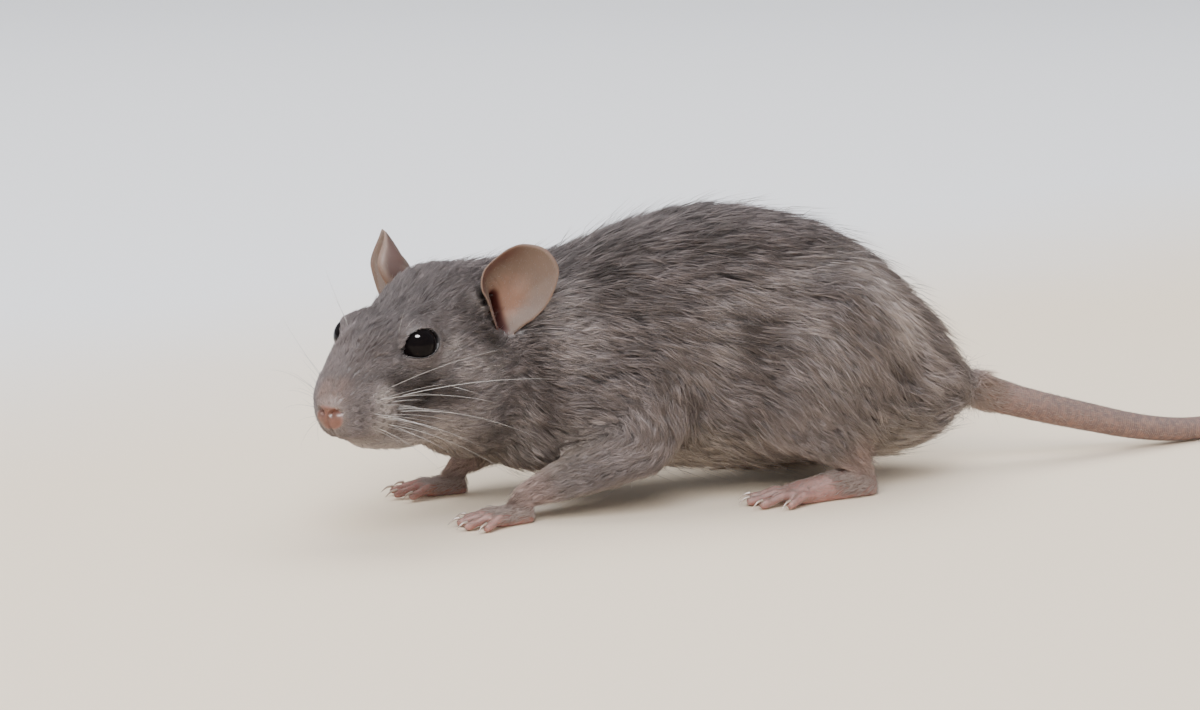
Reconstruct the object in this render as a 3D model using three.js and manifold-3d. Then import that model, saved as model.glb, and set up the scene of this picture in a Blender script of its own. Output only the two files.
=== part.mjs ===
/**
 * A young grey rat standing on all fours, back arched, head turned to its left.
 *
 * Millimetres, +Z up, floor at Z = 0. The spine lies along X with the muzzle towards -X,
 * so the animal's left side is towards -Y. Every outline is the outline of the coat.
 *
 * The body is one long loft from the nose to the root of the tail. Cuts of SEAM width part it
 * into head, neck, chest, belly and rump. Limbs, ears, eyes and jaw are solids of their own,
 * each let into its neighbour with the same clearance.
 */
import * as THREE from 'three';
import { mergeVertices } from 'three/addons/utils/BufferGeometryUtils.js';
import Module from 'manifold-3d';

const wasm = await Module();
wasm.setup();

// ---------------------------------------------------------------- driving dimensions

const SEAM = 0.3; // clearance between neighbouring parts
const FAR = 400; // edge of the boxes that act as half-spaces

const NOSE = new THREE.Vector3(-62.7, -28.8, 26.2); // tip of the nose
const HEAD_TURN = THREE.MathUtils.degToRad(39); // to the animal's left
const HEAD_PITCH = THREE.MathUtils.degToRad(14); // nose down

const EYE = { back: 20.9, out: 8.5, up: 6.9, radius: 3.1 };
const EAR = {
  canal: { back: 42.4, out: 10.4, up: 4.6 }, // where the ear opens into the skull
  centre: { wide: 2.8, tall: 5.3 }, // middle of the rim, seen from the canal
  width: 15.8,
  height: 19,
  depth: 5.2, // from the rim's plane down to the floor of the cup
  sunk: 1.6, // of that depth, how much lies inside the skull
  slant: 0.9, // how far the top of the rim is set back
  lobe: 0.16, // share by which the rim narrows towards its foot
  thickness: 1.1,
  lean: { out: 0.12, back: 0.3 }, // of its long axis, for each unit of height
  swivel: { left: 37, right: 46 }, // degrees that each opening turns forward from outward
};

const FORELEG = {
  left: { shoulder: [9, 13, 28], elbow: [4, 17.2, 13.6], wrist: [-20.8, 16.4, 5.4], turn: 8 },
  right: { shoulder: [0, 13, 26], elbow: [-9, 15, 15], wrist: [-26.8, 11, 5.6], turn: 2 },
};
const HINDLEG = {
  left: { hip: [52, 12.4, 34], knee: [33, 17, 19], hock: [50, 16, 6.6], turn: 7 },
  right: { hip: [52, 12.4, 34], knee: [35, 17, 19], hock: [53, 16, 6.6], turn: 9 },
};

const TAIL = { root: 3.7, tip: 0.9 }; // radii
const WIDEST = 0.44; // share of the trunk's height at which it is widest

// ---------------------------------------------------------------- colours

const paint = (color, roughness, metalness = 0) =>
  new THREE.MeshStandardMaterial({ color, roughness, metalness });
const COAT = paint(0x8a8585, 0.85);
const PALE_SKIN = paint(0xc9a6a0, 0.6);
const EAR_SKIN = paint(0xa98c80, 0.65);
const TAIL_SKIN = paint(0x9c807a, 0.65);
const NOSE_SKIN = paint(0xb9826f, 0.5);
const EYE_BLACK = paint(0x0c0a0b, 0.05);
const CLAW_HORN = paint(0xd8c6b8, 0.4);

// ---------------------------------------------------------------- shape tools

/** The point (x along the body, distance out to that side, height) as a vector. */
const onSide = (side, [x, out, z]) => new THREE.Vector3(x, side * out, z);

/** Unit vectors of a frame that is turned to the left and pitched nose-down. */
function axesOf(turn, pitch) {
  const back = new THREE.Vector3(
    Math.cos(turn) * Math.cos(pitch),
    Math.sin(turn) * Math.cos(pitch),
    Math.sin(pitch),
  );
  const left = new THREE.Vector3(Math.sin(turn), -Math.cos(turn), 0);
  return { back, left, up: left.clone().cross(back) };
}

const HEAD = axesOf(HEAD_TURN, HEAD_PITCH);

/** A point of the head: distance back from the nose tip, out to the left, and up. */
const onHead = (back, left, up) =>
  NOSE.clone()
    .addScaledVector(HEAD.back, back)
    .addScaledVector(HEAD.left, left)
    .addScaledVector(HEAD.up, up);

/** One value of a Catmull-Rom curve through four neighbouring values. */
function catmullRom(a, b, c, d, t) {
  const v0 = (c - a) / 2;
  const v1 = (d - b) / 2;
  return (
    (2 * b - 2 * c + v0 + v1) * t ** 3 + (-3 * b + 3 * c - 2 * v0 - v1) * t ** 2 + v0 * t + b
  );
}

/** Adds perGap - 1 smooth stations between each two, on every numeric field alike. */
function smooth(stations, perGap) {
  const pick = (i) => stations[THREE.MathUtils.clamp(i, 0, stations.length - 1)];
  const made = [];
  for (let i = 0; i < stations.length - 1; i++)
    for (let k = 0; k < perGap; k++) {
      const four = [pick(i - 1), pick(i), pick(i + 1), pick(i + 2)];
      const station = {};
      for (const key of Object.keys(stations[i]))
        station[key] = catmullRom(...four.map((s) => s[key]), k / perGap);
      made.push(station);
    }
  made.push({ ...stations.at(-1) });
  return made;
}

/** A closed surface through rings of equally many points, with a fan over each end. */
function closeRings(rings) {
  const sides = rings[0].length;
  const middle = (ring) =>
    ring.reduce((sum, p) => sum.add(p), new THREE.Vector3()).divideScalar(sides);
  const points = [...rings.flat(), middle(rings[0]), middle(rings.at(-1))];
  const index = [];
  for (let r = 0; r < rings.length - 1; r++)
    for (let s = 0; s < sides; s++) {
      const a = r * sides + s;
      const b = r * sides + ((s + 1) % sides);
      index.push(a, b, b + sides, a, b + sides, a + sides);
    }
  const lastRing = (rings.length - 1) * sides;
  for (let s = 0; s < sides; s++) {
    const next = (s + 1) % sides;
    index.push(points.length - 2, next, s);
    index.push(points.length - 1, lastRing + s, lastRing + next);
  }
  return new THREE.BufferGeometry().setFromPoints(points).setIndex(index);
}

/** Turns a closed geometry into a manifold-3d solid that faces outwards. */
function solid(geometry) {
  const bare = geometry.clone();
  for (const name of ['normal', 'uv']) bare.deleteAttribute(name);
  const merged = mergeVertices(bare, 1e-4);
  const make = (triVerts) =>
    new wasm.Manifold(
      new wasm.Mesh({
        numProp: 3,
        vertProperties: merged.attributes.position.array,
        triVerts: new Uint32Array(triVerts),
      }),
    );
  const made = make(merged.index.array);
  return made.volume() > 0 ? made : make(Array.from(merged.index.array).reverse());
}

/** Points round one cross-section. A square of 1 is an ellipse, less is boxier. */
function section(station, sides, grow) {
  const { left, up } = axesOf(station.turn, station.pitch);
  const centre = new THREE.Vector3(station.x, station.y, station.z);
  const bulge = (v) => Math.sign(v) * Math.abs(v) ** station.square;
  return Array.from({ length: sides }, (_, i) => {
    const angle = (i / sides) * Math.PI * 2;
    const height = Math.sin(angle) > 0 ? station.top : station.bottom;
    return centre
      .clone()
      .addScaledVector(left, (station.half + grow) * bulge(Math.cos(angle)))
      .addScaledVector(up, (height + grow) * bulge(Math.sin(angle)));
  });
}

/** A solid through smooth stations of {x, y, z, turn, pitch, half, top, bottom, square}. */
function loft(stations, { sides, perGap, grow = 0 }) {
  const all = smooth(stations, perGap);
  const ends = [all[0], all.at(-1)];
  ends.forEach((end, i) => {
    const { back } = axesOf(end.turn, end.pitch);
    const step = back.multiplyScalar(i ? grow : -grow);
    Object.assign(end, { x: end.x + step.x, y: end.y + step.y, z: end.z + step.z });
  });
  return solid(closeRings(all.map((s) => section(s, sides, grow))));
}

/** Rings of a round end: how far past the end each lies, and how wide it is. */
const DOME = [[0.92, 0.4], [0.55, 0.84]];
const BLUNT = [[0.7, 0.6]];

/** A round-ended solid along stations of {at, r, flat}, where flat is height over width. */
function limb(stations, { sides = 10, perGap = 1, grow = 0, dome = DOME } = {}) {
  const all = smooth(
    stations.map(({ at, r, flat = 1 }) => ({ x: at.x, y: at.y, z: at.z, r: r + grow, flat })),
    perGap,
  );
  const place = (s) => new THREE.Vector3(s.x, s.y, s.z);
  const rings = all.map((s, i) => {
    const before = place(all[Math.max(i - 1, 0)]);
    const after = place(all[Math.min(i + 1, all.length - 1)]);
    return { centre: place(s), along: after.sub(before).normalize(), r: s.r, flat: s.flat };
  });
  const cap = (end, way) =>
    dome.map(([past, wide]) => ({
      ...end,
      centre: end.centre.clone().addScaledVector(end.along, way * past * end.r),
      r: end.r * wide,
    }));
  const whole = [...cap(rings[0], -1), ...rings, ...cap(rings.at(-1), 1).reverse()];
  return solid(
    closeRings(
      whole.map(({ centre, along, r, flat }) => {
        const side = new THREE.Vector3(-along.y, along.x, 0).normalize();
        const up = along.clone().cross(side).normalize();
        return Array.from({ length: sides }, (_, i) => {
          const angle = (i / sides) * Math.PI * 2;
          return centre
            .clone()
            .addScaledVector(side, r * Math.cos(angle))
            .addScaledVector(up, r * flat * Math.sin(angle));
        });
      }),
    ),
  );
}

/** Everything on one side of a plane, as a large box. */
function halfSpace(point, normal) {
  const turn = new THREE.Quaternion().setFromUnitVectors(
    new THREE.Vector3(1, 0, 0),
    normal.clone().normalize(),
  );
  const box = new THREE.BoxGeometry(FAR, FAR, FAR).translate(FAR / 2, 0, 0);
  return solid(box.applyQuaternion(turn).translate(point.x, point.y, point.z));
}

/** What lies between two cuts, each {at, back}, less half a seam at either. */
function between(whole, front, rear) {
  let piece = whole;
  if (front) {
    const start = front.at.clone().addScaledVector(front.back, SEAM / 2);
    piece = piece.intersect(halfSpace(start, front.back));
  }
  if (rear) {
    const end = rear.at.clone().addScaledVector(rear.back, -SEAM / 2);
    piece = piece.intersect(halfSpace(end, rear.back.clone().negate()));
  }
  return piece;
}

const without = (piece, ...others) => others.reduce((left, o) => left.subtract(o), piece);

const GROUND = halfSpace(new THREE.Vector3(), new THREE.Vector3(0, 0, -1));

/** A piece that stands on the floor, cut flat at its level. */
const standing = (piece) => piece.subtract(GROUND);

const rat = new THREE.Group();

/** Adds the main body of a solid to the animal as a named mesh, without stray slivers. */
function add(name, piece, material) {
  const body = piece.decompose().sort((a, b) => b.volume() - a.volume())[0];
  const { numProp, vertProperties, triVerts } = body.getMesh();
  const geometry = new THREE.BufferGeometry()
    .setAttribute('position', new THREE.BufferAttribute(vertProperties, numProp))
    .setIndex(new THREE.BufferAttribute(triVerts, 1));
  geometry.computeVertexNormals();
  const mesh = new THREE.Mesh(geometry, material);
  mesh.name = name;
  rat.add(mesh);
}

// ---------------------------------------------------------------- head, neck and trunk

/** A cross-section of the head, by its distance back from the nose tip. */
function headStation(back, rise, half, top, bottom, square) {
  const { x, y, z } = onHead(back, 0, rise);
  return { x, y, z, turn: HEAD_TURN, pitch: HEAD_PITCH, half, top, bottom, square };
}

/** A cross-section of the trunk, by its place along the body and its two heights. */
function trunkStation(x, low, high, half, { y = 0, turn = 0, pitch = 0, square = 0.94 } = {}) {
  const z = low + (high - low) * WIDEST;
  const toRad = THREE.MathUtils.degToRad;
  const lean = Math.cos(toRad(pitch));
  return {
    x, y, z, half, square,
    turn: toRad(turn), pitch: toRad(pitch),
    top: (high - z) * lean, bottom: (z - low) * lean,
  };
}

const SPINE = [
  headStation(0, 0.2, 1.8, 1.7, 2, 1),
  headStation(1.6, 0.2, 3.5, 3.1, 3.9, 0.95),
  headStation(4.5, 0, 6.5, 4.6, 6.4, 0.9),
  headStation(9, 0, 8.7, 6.6, 8, 0.88),
  headStation(14.5, 0, 9.2, 8.8, 9.6, 0.9),
  headStation(21, 0, 10.2, 11.6, 12.6, 0.9),
  headStation(28, -0.5, 12.3, 14.4, 17.2, 0.9),
  headStation(35, -1, 13.4, 16.2, 23.6, 0.9),
  headStation(42, -1.5, 14, 16.6, 26, 0.92),
  trunkStation(-20.5, 6.8, 50, 15, { y: -1.2, turn: 22, pitch: 6 }),
  trunkStation(-11, 6.2, 50.6, 16.6, { y: -0.2, turn: 9 }),
  trunkStation(0, 6, 54, 18.6),
  trunkStation(12, 5.6, 57.4, 20),
  trunkStation(24, 5, 58.6, 21),
  trunkStation(37, 5, 56.6, 21.6),
  trunkStation(49, 4.8, 51.6, 21, { pitch: -6 }),
  trunkStation(60, 4.2, 42.4, 18.4, { pitch: -12 }),
  trunkStation(68.5, 4.6, 33.2, 13.6, { pitch: -16 }),
  trunkStation(75, 8, 25.8, 8.4, { pitch: -18, square: 1 }),
  trunkStation(79.5, 12.2, 22.8, 5.2, { pitch: -18, square: 1 }),
  trunkStation(83, 13.2, 20.8, 3.9, { pitch: -18, square: 1 }),
];

const torso = loft(SPINE, { sides: 20, perGap: 2 });

const planeOf = (s) => ({
  at: new THREE.Vector3(s.x, s.y, s.z),
  back: axesOf(s.turn, s.pitch).back,
});
const planeAt = (x, turn = 0) => ({
  at: new THREE.Vector3(x, 0, 0),
  back: axesOf(THREE.MathUtils.degToRad(turn), 0).back,
});
const CUT = {
  nose: planeOf(headStation(1.9, 0, 0, 0, 0, 1)),
  occiput: planeOf(headStation(42, 0, 0, 0, 0, 1)),
  shoulders: planeAt(-9, 9),
  ribs: planeAt(23),
  loin: planeAt(47),
};
const DOCK = planeOf(SPINE.at(-2)); // where the tail begins

// ---------------------------------------------------------------- jaw and eyes

function jaw(grow = 0) {
  return loft(
    [
      headStation(6.6, -7.2, 1.8, 1.2, 1.6, 1),
      headStation(8.2, -7.4, 3.8, 1.8, 3, 1),
      headStation(13, -8.4, 5.2, 2.4, 4.2, 1),
      headStation(19, -9.6, 6.2, 3, 5.4, 1),
      headStation(26, -10.5, 6.6, 3, 6.2, 1),
    ],
    { sides: 12, perGap: 1, grow },
  );
}

function eye(side, grow = 0) {
  const centre = onHead(EYE.back, -side * EYE.out, EYE.up);
  const ball = new THREE.SphereGeometry(EYE.radius + grow, 10, 8);
  return solid(ball.translate(centre.x, centre.y, centre.z));
}

// ---------------------------------------------------------------- ears

/** Frame of an ear: along its width (towards its rear edge), its height and its opening. */
function earFrame(side) {
  const swivel = THREE.MathUtils.degToRad(side < 0 ? EAR.swivel.left : EAR.swivel.right);
  const out = HEAD.left.clone().multiplyScalar(-side);
  const tall = HEAD.up.clone().addScaledVector(out, EAR.lean.out);
  tall.addScaledVector(HEAD.back, EAR.lean.back).normalize();
  const open = out.clone().multiplyScalar(Math.cos(swivel));
  open.addScaledVector(HEAD.back, -Math.sin(swivel));
  open.addScaledVector(tall, -open.dot(tall)).normalize();
  const wide = open.clone().cross(tall).multiplyScalar(side);
  return { wide, tall, open };
}

/** The cupped ear. Swell thickens it, and a filled one also holds the space in front of it. */
function ear(side, { swell = 0, filled = false } = {}) {
  const SPOKES = 14;
  const SHARES = [0.2, 0.55, 0.85, 1]; // of the way from the canal to the rim
  const PLUG = 6; // how far a filled ear reaches out
  const { wide, tall, open } = earFrame(side);
  const canal = onHead(EAR.canal.back, -side * EAR.canal.out, EAR.canal.up);
  const rim = (angle) => {
    const rise = Math.sin(angle);
    const reach = (EAR.width / 2 + swell) * (1 - EAR.lobe * Math.max(0, -rise));
    return {
      wide: EAR.centre.wide + reach * Math.cos(angle) + EAR.slant * rise,
      tall: EAR.centre.tall + (EAR.height / 2 + swell) * rise,
    };
  };
  const surface = (share, lift) =>
    Array.from({ length: SPOKES }, (_, i) => {
      const edge = rim((i / SPOKES) * Math.PI * 2);
      const flare = (share * Math.max(0, edge.wide)) / EAR.width; // the rear edge rolls back
      const rise = EAR.depth * share ** 2.2 - EAR.sunk - flare;
      return canal
        .clone()
        .addScaledVector(wide, edge.wide * share)
        .addScaledVector(tall, edge.tall * share)
        .addScaledVector(open, rise + lift);
    });
  const skin = EAR.thickness / 2 + swell;
  const behind = SHARES.map((share) => surface(share, -skin));
  const inside = SHARES.map((share) => surface(share, filled ? PLUG : skin)).reverse();
  return solid(closeRings([...behind, ...inside]));
}

// ---------------------------------------------------------------- limbs

const upperArm = (side, leg, grow = 0) =>
  limb(
    [
      { at: onSide(side, leg.shoulder), r: 8 },
      { at: onSide(side, leg.shoulder).lerp(onSide(side, leg.elbow), 0.55), r: 7.6 },
      { at: onSide(side, leg.elbow), r: 6.2 },
    ],
    { sides: 10, grow, dome: BLUNT },
  );

const forearm = (side, leg, grow = 0) => {
  const elbow = onSide(side, leg.elbow);
  const wrist = onSide(side, leg.wrist);
  return limb(
    [
      { at: elbow, r: 6.2 },
      { at: elbow.clone().lerp(wrist, 0.4), r: 5.1 },
      { at: elbow.clone().lerp(wrist, 0.72), r: 4 },
      { at: elbow.clone().lerp(wrist, 0.96), r: 2.8 },
    ],
    { sides: 10, grow, dome: BLUNT },
  );
};

const thigh = (side, leg, grow = 0) => {
  const hip = onSide(side, leg.hip);
  const knee = onSide(side, leg.knee);
  return limb(
    [
      { at: hip, r: 9, flat: 1.75 },
      { at: hip.clone().lerp(knee, 0.5), r: 9.6, flat: 1.5 },
      { at: knee, r: 7.2, flat: 1.2 },
    ],
    { sides: 10, perGap: 2, grow, dome: BLUNT },
  );
};

const shank = (side, leg, grow = 0) => {
  const knee = onSide(side, leg.knee);
  const hock = onSide(side, leg.hock);
  return limb(
    [
      { at: knee, r: 6.6 },
      { at: knee.clone().lerp(hock, 0.45), r: 5.6 },
      { at: knee.clone().lerp(hock, 0.8), r: 3.9 },
      { at: hock, r: 3.2 },
    ],
    { sides: 10, grow, dome: BLUNT },
  );
};

/**
 * Feet. Each is drawn pointing along -X from the joint above it, its outer side towards +Y,
 * then turned outwards and moved into place. Lengths run forward from that joint.
 */
const FORE_FOOT = {
  sole: [
    { ahead: -1.9, half: 1.3, height: 3.4 },
    { ahead: -0.5, half: 2.2, height: 5 },
    { ahead: 2.6, half: 2.5, height: 3.8 },
    { ahead: 5.4, half: 3, height: 2.9 },
    { ahead: 7, half: 2.6, height: 2.2 },
  ],
  toeRadius: 1.1,
  toes: [
    { from: 5.2, out: -2.3, length: 5.6, fan: -24 },
    { from: 6.4, out: -0.9, length: 6.5, fan: -8 },
    { from: 6.4, out: 0.9, length: 6.5, fan: 8 },
    { from: 5.2, out: 2.3, length: 5.4, fan: 26 },
  ],
};
const HIND_FOOT = {
  sole: [
    { ahead: -3.6, half: 1.2, height: 4 },
    { ahead: -2.2, half: 2, height: 5.7 },
    { ahead: 1, half: 2.5, height: 6.6 },
    { ahead: 6, half: 2.7, height: 5.6 },
    { ahead: 14, half: 3.7, height: 4.2 },
    { ahead: 17.4, half: 3.2, height: 2.8 },
  ],
  toeRadius: 1.15,
  toes: [
    { from: 12.6, out: -3.3, length: 4.6, fan: -24 },
    { from: 15.8, out: -2.3, length: 7.2, fan: -13 },
    { from: 16.8, out: -0.5, length: 7.8, fan: -3 },
    { from: 16.2, out: 1.5, length: 7.5, fan: 9 },
    { from: 13.6, out: 3.1, length: 5.6, fan: 22 },
  ],
};

/** A point of a toe, so far along it and so high, in the foot's own frame. */
function onToe(toe, reach, height) {
  const fan = THREE.MathUtils.degToRad(toe.fan);
  const x = -toe.from - reach * Math.cos(fan);
  return new THREE.Vector3(x, toe.out + reach * Math.sin(fan), height);
}

/** An arched toe: up to its knuckle, down to the pad at its end. */
const toe = (shape, { toeRadius: r }) =>
  limb(
    [
      { at: onToe(shape, -0.12 * shape.length, 1.6 * r), r },
      { at: onToe(shape, 0.32 * shape.length, 1.95 * r), r: 0.98 * r },
      { at: onToe(shape, 0.7 * shape.length, 1.25 * r), r: 0.84 * r },
      { at: onToe(shape, shape.length, 0.9 * r), r: 0.94 * r },
    ],
    { sides: 6, dome: BLUNT },
  );

/** The claw that begins just past the end of its toe. */
function claw(shape, { toeRadius: r }) {
  const start = shape.length + 0.68 * r + SEAM;
  return limb(
    [
      { at: onToe(shape, start, 1.15 * r), r: 0.42 * r },
      { at: onToe(shape, start + 0.9, 1.1 * r), r: 0.36 * r },
      { at: onToe(shape, start + 1.9, 0.6 * r), r: 0.27 * r },
    ],
    { sides: 5, dome: [] },
  );
}

/** The palm or sole in the foot's own frame, from its heel to the roots of its toes. */
function sole(design, grow = 0) {
  const heelFirst = design.sole.map(({ ahead, half, height }) => ({
    x: -ahead, y: 0, z: height * 0.4, half, top: height * 0.6, bottom: height * 0.5,
    square: 0.9, turn: Math.PI, pitch: 0,
  }));
  return loft(heelFirst, { sides: 10, perGap: 1, grow });
}

/** The transform that sets a foot under its joint. */
function footPlace(side, [x, out], turn) {
  return new THREE.Matrix4()
    .makeTranslation(x, side * out, 0)
    .multiply(new THREE.Matrix4().makeRotationZ(THREE.MathUtils.degToRad(-side * turn)))
    .multiply(new THREE.Matrix4().makeScale(1, side, 1));
}

/** Adds one foot and its claws. Returns the room that the limb above has to leave for it. */
function addFoot(name, side, joint, turn, design) {
  const matrix = footPlace(side, joint, turn).elements;
  const toes = design.toes.map((shape) => toe(shape, design));
  const flesh = toes.reduce((all, one) => all.add(one), sole(design));
  add(name, standing(flesh.transform(matrix)), PALE_SKIN);
  design.toes.forEach((shape, i) => {
    const nail = claw(shape, design).transform(matrix);
    add(`${name}_claw_${i + 1}`, nail, CLAW_HORN);
  });
  return sole(design, SEAM).transform(matrix);
}

// ---------------------------------------------------------------- tail

/** Heights and drift of the tail's middle line, from its root to its tip. */
const TAIL_LINE = [
  [78.2, 0, 18],
  [86, 0.3, 15.4],
  [97, 1.2, 12],
  [110, 2.8, 8.4],
  [123, 5, 5],
  [136, 8, 2.85],
  [150, 12.4, 2.35],
  [164, 18.4, 1.95],
  [177, 26.4, 1.55],
  [188, 36, 1.15],
  [196, 46, 0.78],
].map((p) => new THREE.Vector3(...p));

function tailParts() {
  const JOINTS = TAIL_LINE.length - 1;
  const radius = (i) => {
    const share = i / JOINTS;
    return TAIL.tip + (TAIL.root - TAIL.tip) * (1 - share) ** 0.8;
  };
  const whole = standing(
    limb(
      TAIL_LINE.map((at, i) => ({ at, r: radius(i) })),
      { sides: 8, perGap: 2 },
    ),
  );
  const cutAt = (i) => ({
    at: TAIL_LINE[i],
    back: TAIL_LINE[i + 1].clone().sub(TAIL_LINE[i - 1]).normalize(),
  });
  const cuts = [DOCK, cutAt(3), cutAt(5), cutAt(8), null];
  return cuts.slice(1).map((rear, i) => between(whole, cuts[i], rear));
}

// ---------------------------------------------------------------- assembly

const SIDES = { left: -1, right: 1 };
const room = []; // what the axial body leaves free for everything that is let into it

for (const [name, side] of Object.entries(SIDES)) {
  const fore = FORELEG[name];
  const hind = HINDLEG[name];

  const foreFoot = addFoot(`fore_foot_${name}`, side, fore.wrist, fore.turn, FORE_FOOT);
  add(`forearm_${name}`, without(forearm(side, fore), foreFoot), COAT);
  const forearmRoom = forearm(side, fore, SEAM);
  add(`upper_arm_${name}`, without(upperArm(side, fore), forearmRoom), COAT);

  const hindFoot = addFoot(`hind_foot_${name}`, side, hind.hock, hind.turn, HIND_FOOT);
  add(`shank_${name}`, without(shank(side, hind), hindFoot), COAT);
  const shankRoom = shank(side, hind, SEAM);
  add(`thigh_${name}`, without(thigh(side, hind), shankRoom), COAT);

  add(`ear_${name}`, ear(side), EAR_SKIN);
  add(`eye_${name}`, eye(side), EYE_BLACK);

  room.push(forearmRoom, upperArm(side, fore, SEAM), shankRoom, thigh(side, hind, SEAM));
  room.push(ear(side, { swell: SEAM, filled: true }), eye(side, SEAM));
}

add('lower_jaw', jaw(), COAT);
room.push(jaw(SEAM));

const AXIAL = [
  { name: 'nose', front: null, rear: CUT.nose, material: NOSE_SKIN },
  { name: 'head', front: CUT.nose, rear: CUT.occiput, material: COAT },
  { name: 'neck', front: CUT.occiput, rear: CUT.shoulders, material: COAT },
  { name: 'chest', front: CUT.shoulders, rear: CUT.ribs, material: COAT },
  { name: 'belly', front: CUT.ribs, rear: CUT.loin, material: COAT },
  { name: 'rump', front: CUT.loin, rear: DOCK, material: COAT },
];
for (const { name, front, rear, material } of AXIAL)
  add(name, without(between(torso, front, rear), ...room), material);

tailParts().forEach((part, i) => add(`tail_${i + 1}`, part, TAIL_SKIN));

// The origin is under the middle of the whole animal, on the floor.
const extent = new THREE.Box3().setFromObject(rat);
const middle = extent.getCenter(new THREE.Vector3());
rat.position.set(-middle.x, -middle.y, -extent.min.z);

export default rat;
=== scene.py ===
"""A young grey rat on all fours with its head turned, as a still life-size model.

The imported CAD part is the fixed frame. One skin replaces its solids of flesh and lies inside
them by the depth of the coat. Tufts, eyes, claws and whiskers are built on that skin.
Lengths are worked out in millimetres and written to Blender's meshes in metres.
"""

import logging
import math
from dataclasses import astuple, dataclass, field
from enum import Enum
from typing import Callable, Iterable, Sequence, Union

import bpy
import numpy as np
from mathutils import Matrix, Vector
from mathutils.bvhtree import BVHTree
from mathutils.kdtree import KDTree


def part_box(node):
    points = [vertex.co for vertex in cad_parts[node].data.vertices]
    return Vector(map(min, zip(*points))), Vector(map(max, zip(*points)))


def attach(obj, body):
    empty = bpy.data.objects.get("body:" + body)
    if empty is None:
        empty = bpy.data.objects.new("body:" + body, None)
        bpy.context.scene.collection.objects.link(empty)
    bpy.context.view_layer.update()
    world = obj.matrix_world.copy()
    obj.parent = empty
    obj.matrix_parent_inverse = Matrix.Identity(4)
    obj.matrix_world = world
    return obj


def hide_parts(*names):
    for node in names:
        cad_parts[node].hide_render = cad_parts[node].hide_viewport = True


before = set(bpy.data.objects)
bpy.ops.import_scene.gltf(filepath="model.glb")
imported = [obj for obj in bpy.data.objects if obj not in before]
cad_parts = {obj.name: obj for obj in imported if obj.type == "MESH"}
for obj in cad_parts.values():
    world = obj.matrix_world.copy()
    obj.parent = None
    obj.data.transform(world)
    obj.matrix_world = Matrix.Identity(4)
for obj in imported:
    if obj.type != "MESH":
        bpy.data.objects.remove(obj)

LOG = logging.getLogger("rat")
MM = 0.001
MERGE = 1e-6  # metres
UV_MAP = "OFBake"
Triple = tuple[float, float, float]
Paint = tuple[float, float, float, float]
Patch = tuple[Triple, Triple, float, float, str]
Number = Union[float, "Sock"]


class Side(Enum):
    """The animal's two sides, with the sign of Y."""

    LEFT = -1
    RIGHT = 1

    @property
    def word(self) -> str:
        """The side as it stands in node names."""
        return self.name.lower()


class Region(Enum):
    """Parts of the coat that are built as pieces of their own."""

    FACE = ("nose", "lower_jaw")
    HEAD = ("head", "ear", "eye")
    NECK = ("neck",)
    CHEST = ("chest",)
    BELLY = ("belly",)
    RUMP = ("rump", "tail_1")
    FORELEG = ("upper_arm", "forearm", "fore_foot")
    HINDLEG = ("thigh", "shank", "hind_foot")
    TAIL = ("tail_2", "tail_3", "tail_4")


# ---------------------------------------------------------------- mesh tools


def unit(vectors: np.ndarray) -> np.ndarray:
    """Vectors along the last axis, scaled to length one."""
    return vectors / np.maximum(np.linalg.norm(vectors, axis=-1, keepdims=True), 1e-9)


def ease(values: np.ndarray, start: float, stop: float) -> np.ndarray:
    """Zero up to start, one from stop on, and a smooth step between them."""
    share = np.clip((values - start) / (stop - start), 0, 1)
    return share * share * (3 - 2 * share)


def alone(*objects: bpy.types.Object) -> None:
    """Selects only these objects, or nothing, and makes the first of them active."""
    bpy.ops.object.select_all(action="DESELECT")
    for one in objects:
        one.select_set(True)
    if objects:
        bpy.context.view_layer.objects.active = objects[0]


def placed(name: str, data: bpy.types.ID) -> bpy.types.Object:
    """A new object in the scene."""
    piece = bpy.data.objects.new(name, data)
    bpy.context.scene.collection.objects.link(piece)
    return piece


def cleaned(piece: bpy.types.Object, merge: float = 0.0, outward: bool = True) -> bpy.types.Object:
    """Merges vertices closer than merge metres, turns the faces outwards, and returns the piece."""
    alone(piece)
    bpy.ops.object.mode_set(mode="EDIT")
    bpy.ops.mesh.select_all(action="SELECT")
    if merge:
        bpy.ops.mesh.remove_doubles(threshold=merge)
    if outward:
        bpy.ops.mesh.normals_make_consistent(inside=False)
    bpy.ops.object.mode_set(mode="OBJECT")
    return piece


def listed(items: bpy.types.bpy_prop_collection, name: str, width: int = 3) -> np.ndarray:
    """A property of every item of a mesh, one row each."""
    flat = np.empty(len(items) * width)
    items.foreach_get(name, flat)
    return flat.reshape(-1, width)


def read(piece: bpy.types.Object) -> np.ndarray:
    """A mesh's vertices in millimetres, one row each."""
    return listed(piece.data.vertices, "co") / MM


def write(piece: bpy.types.Object, points: np.ndarray) -> None:
    """Moves a mesh's vertices to places given in millimetres."""
    piece.data.vertices.foreach_set("co", (points * MM).ravel())
    piece.data.update()


def normals(piece: bpy.types.Object) -> np.ndarray:
    """A mesh's vertex normals."""
    return listed(piece.data.vertices, "normal")


def finish_with(piece: bpy.types.Object, kind: str, **settings: object) -> None:
    """Adds a modifier with these settings and applies it."""
    alone(piece)
    modifier = piece.modifiers.new(kind.title(), kind)
    for name, value in settings.items():
        setattr(modifier, name, value)
    bpy.ops.object.modifier_apply(modifier=modifier.name)


def copy_node(name: str) -> bpy.types.Object:
    """A copy of a CAD node with its own mesh, its loose triangles merged."""
    piece = placed(f"work_{name}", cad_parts[name].data.copy())
    piece.data.materials.clear()
    return cleaned(piece, MERGE, outward=False)


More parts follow.
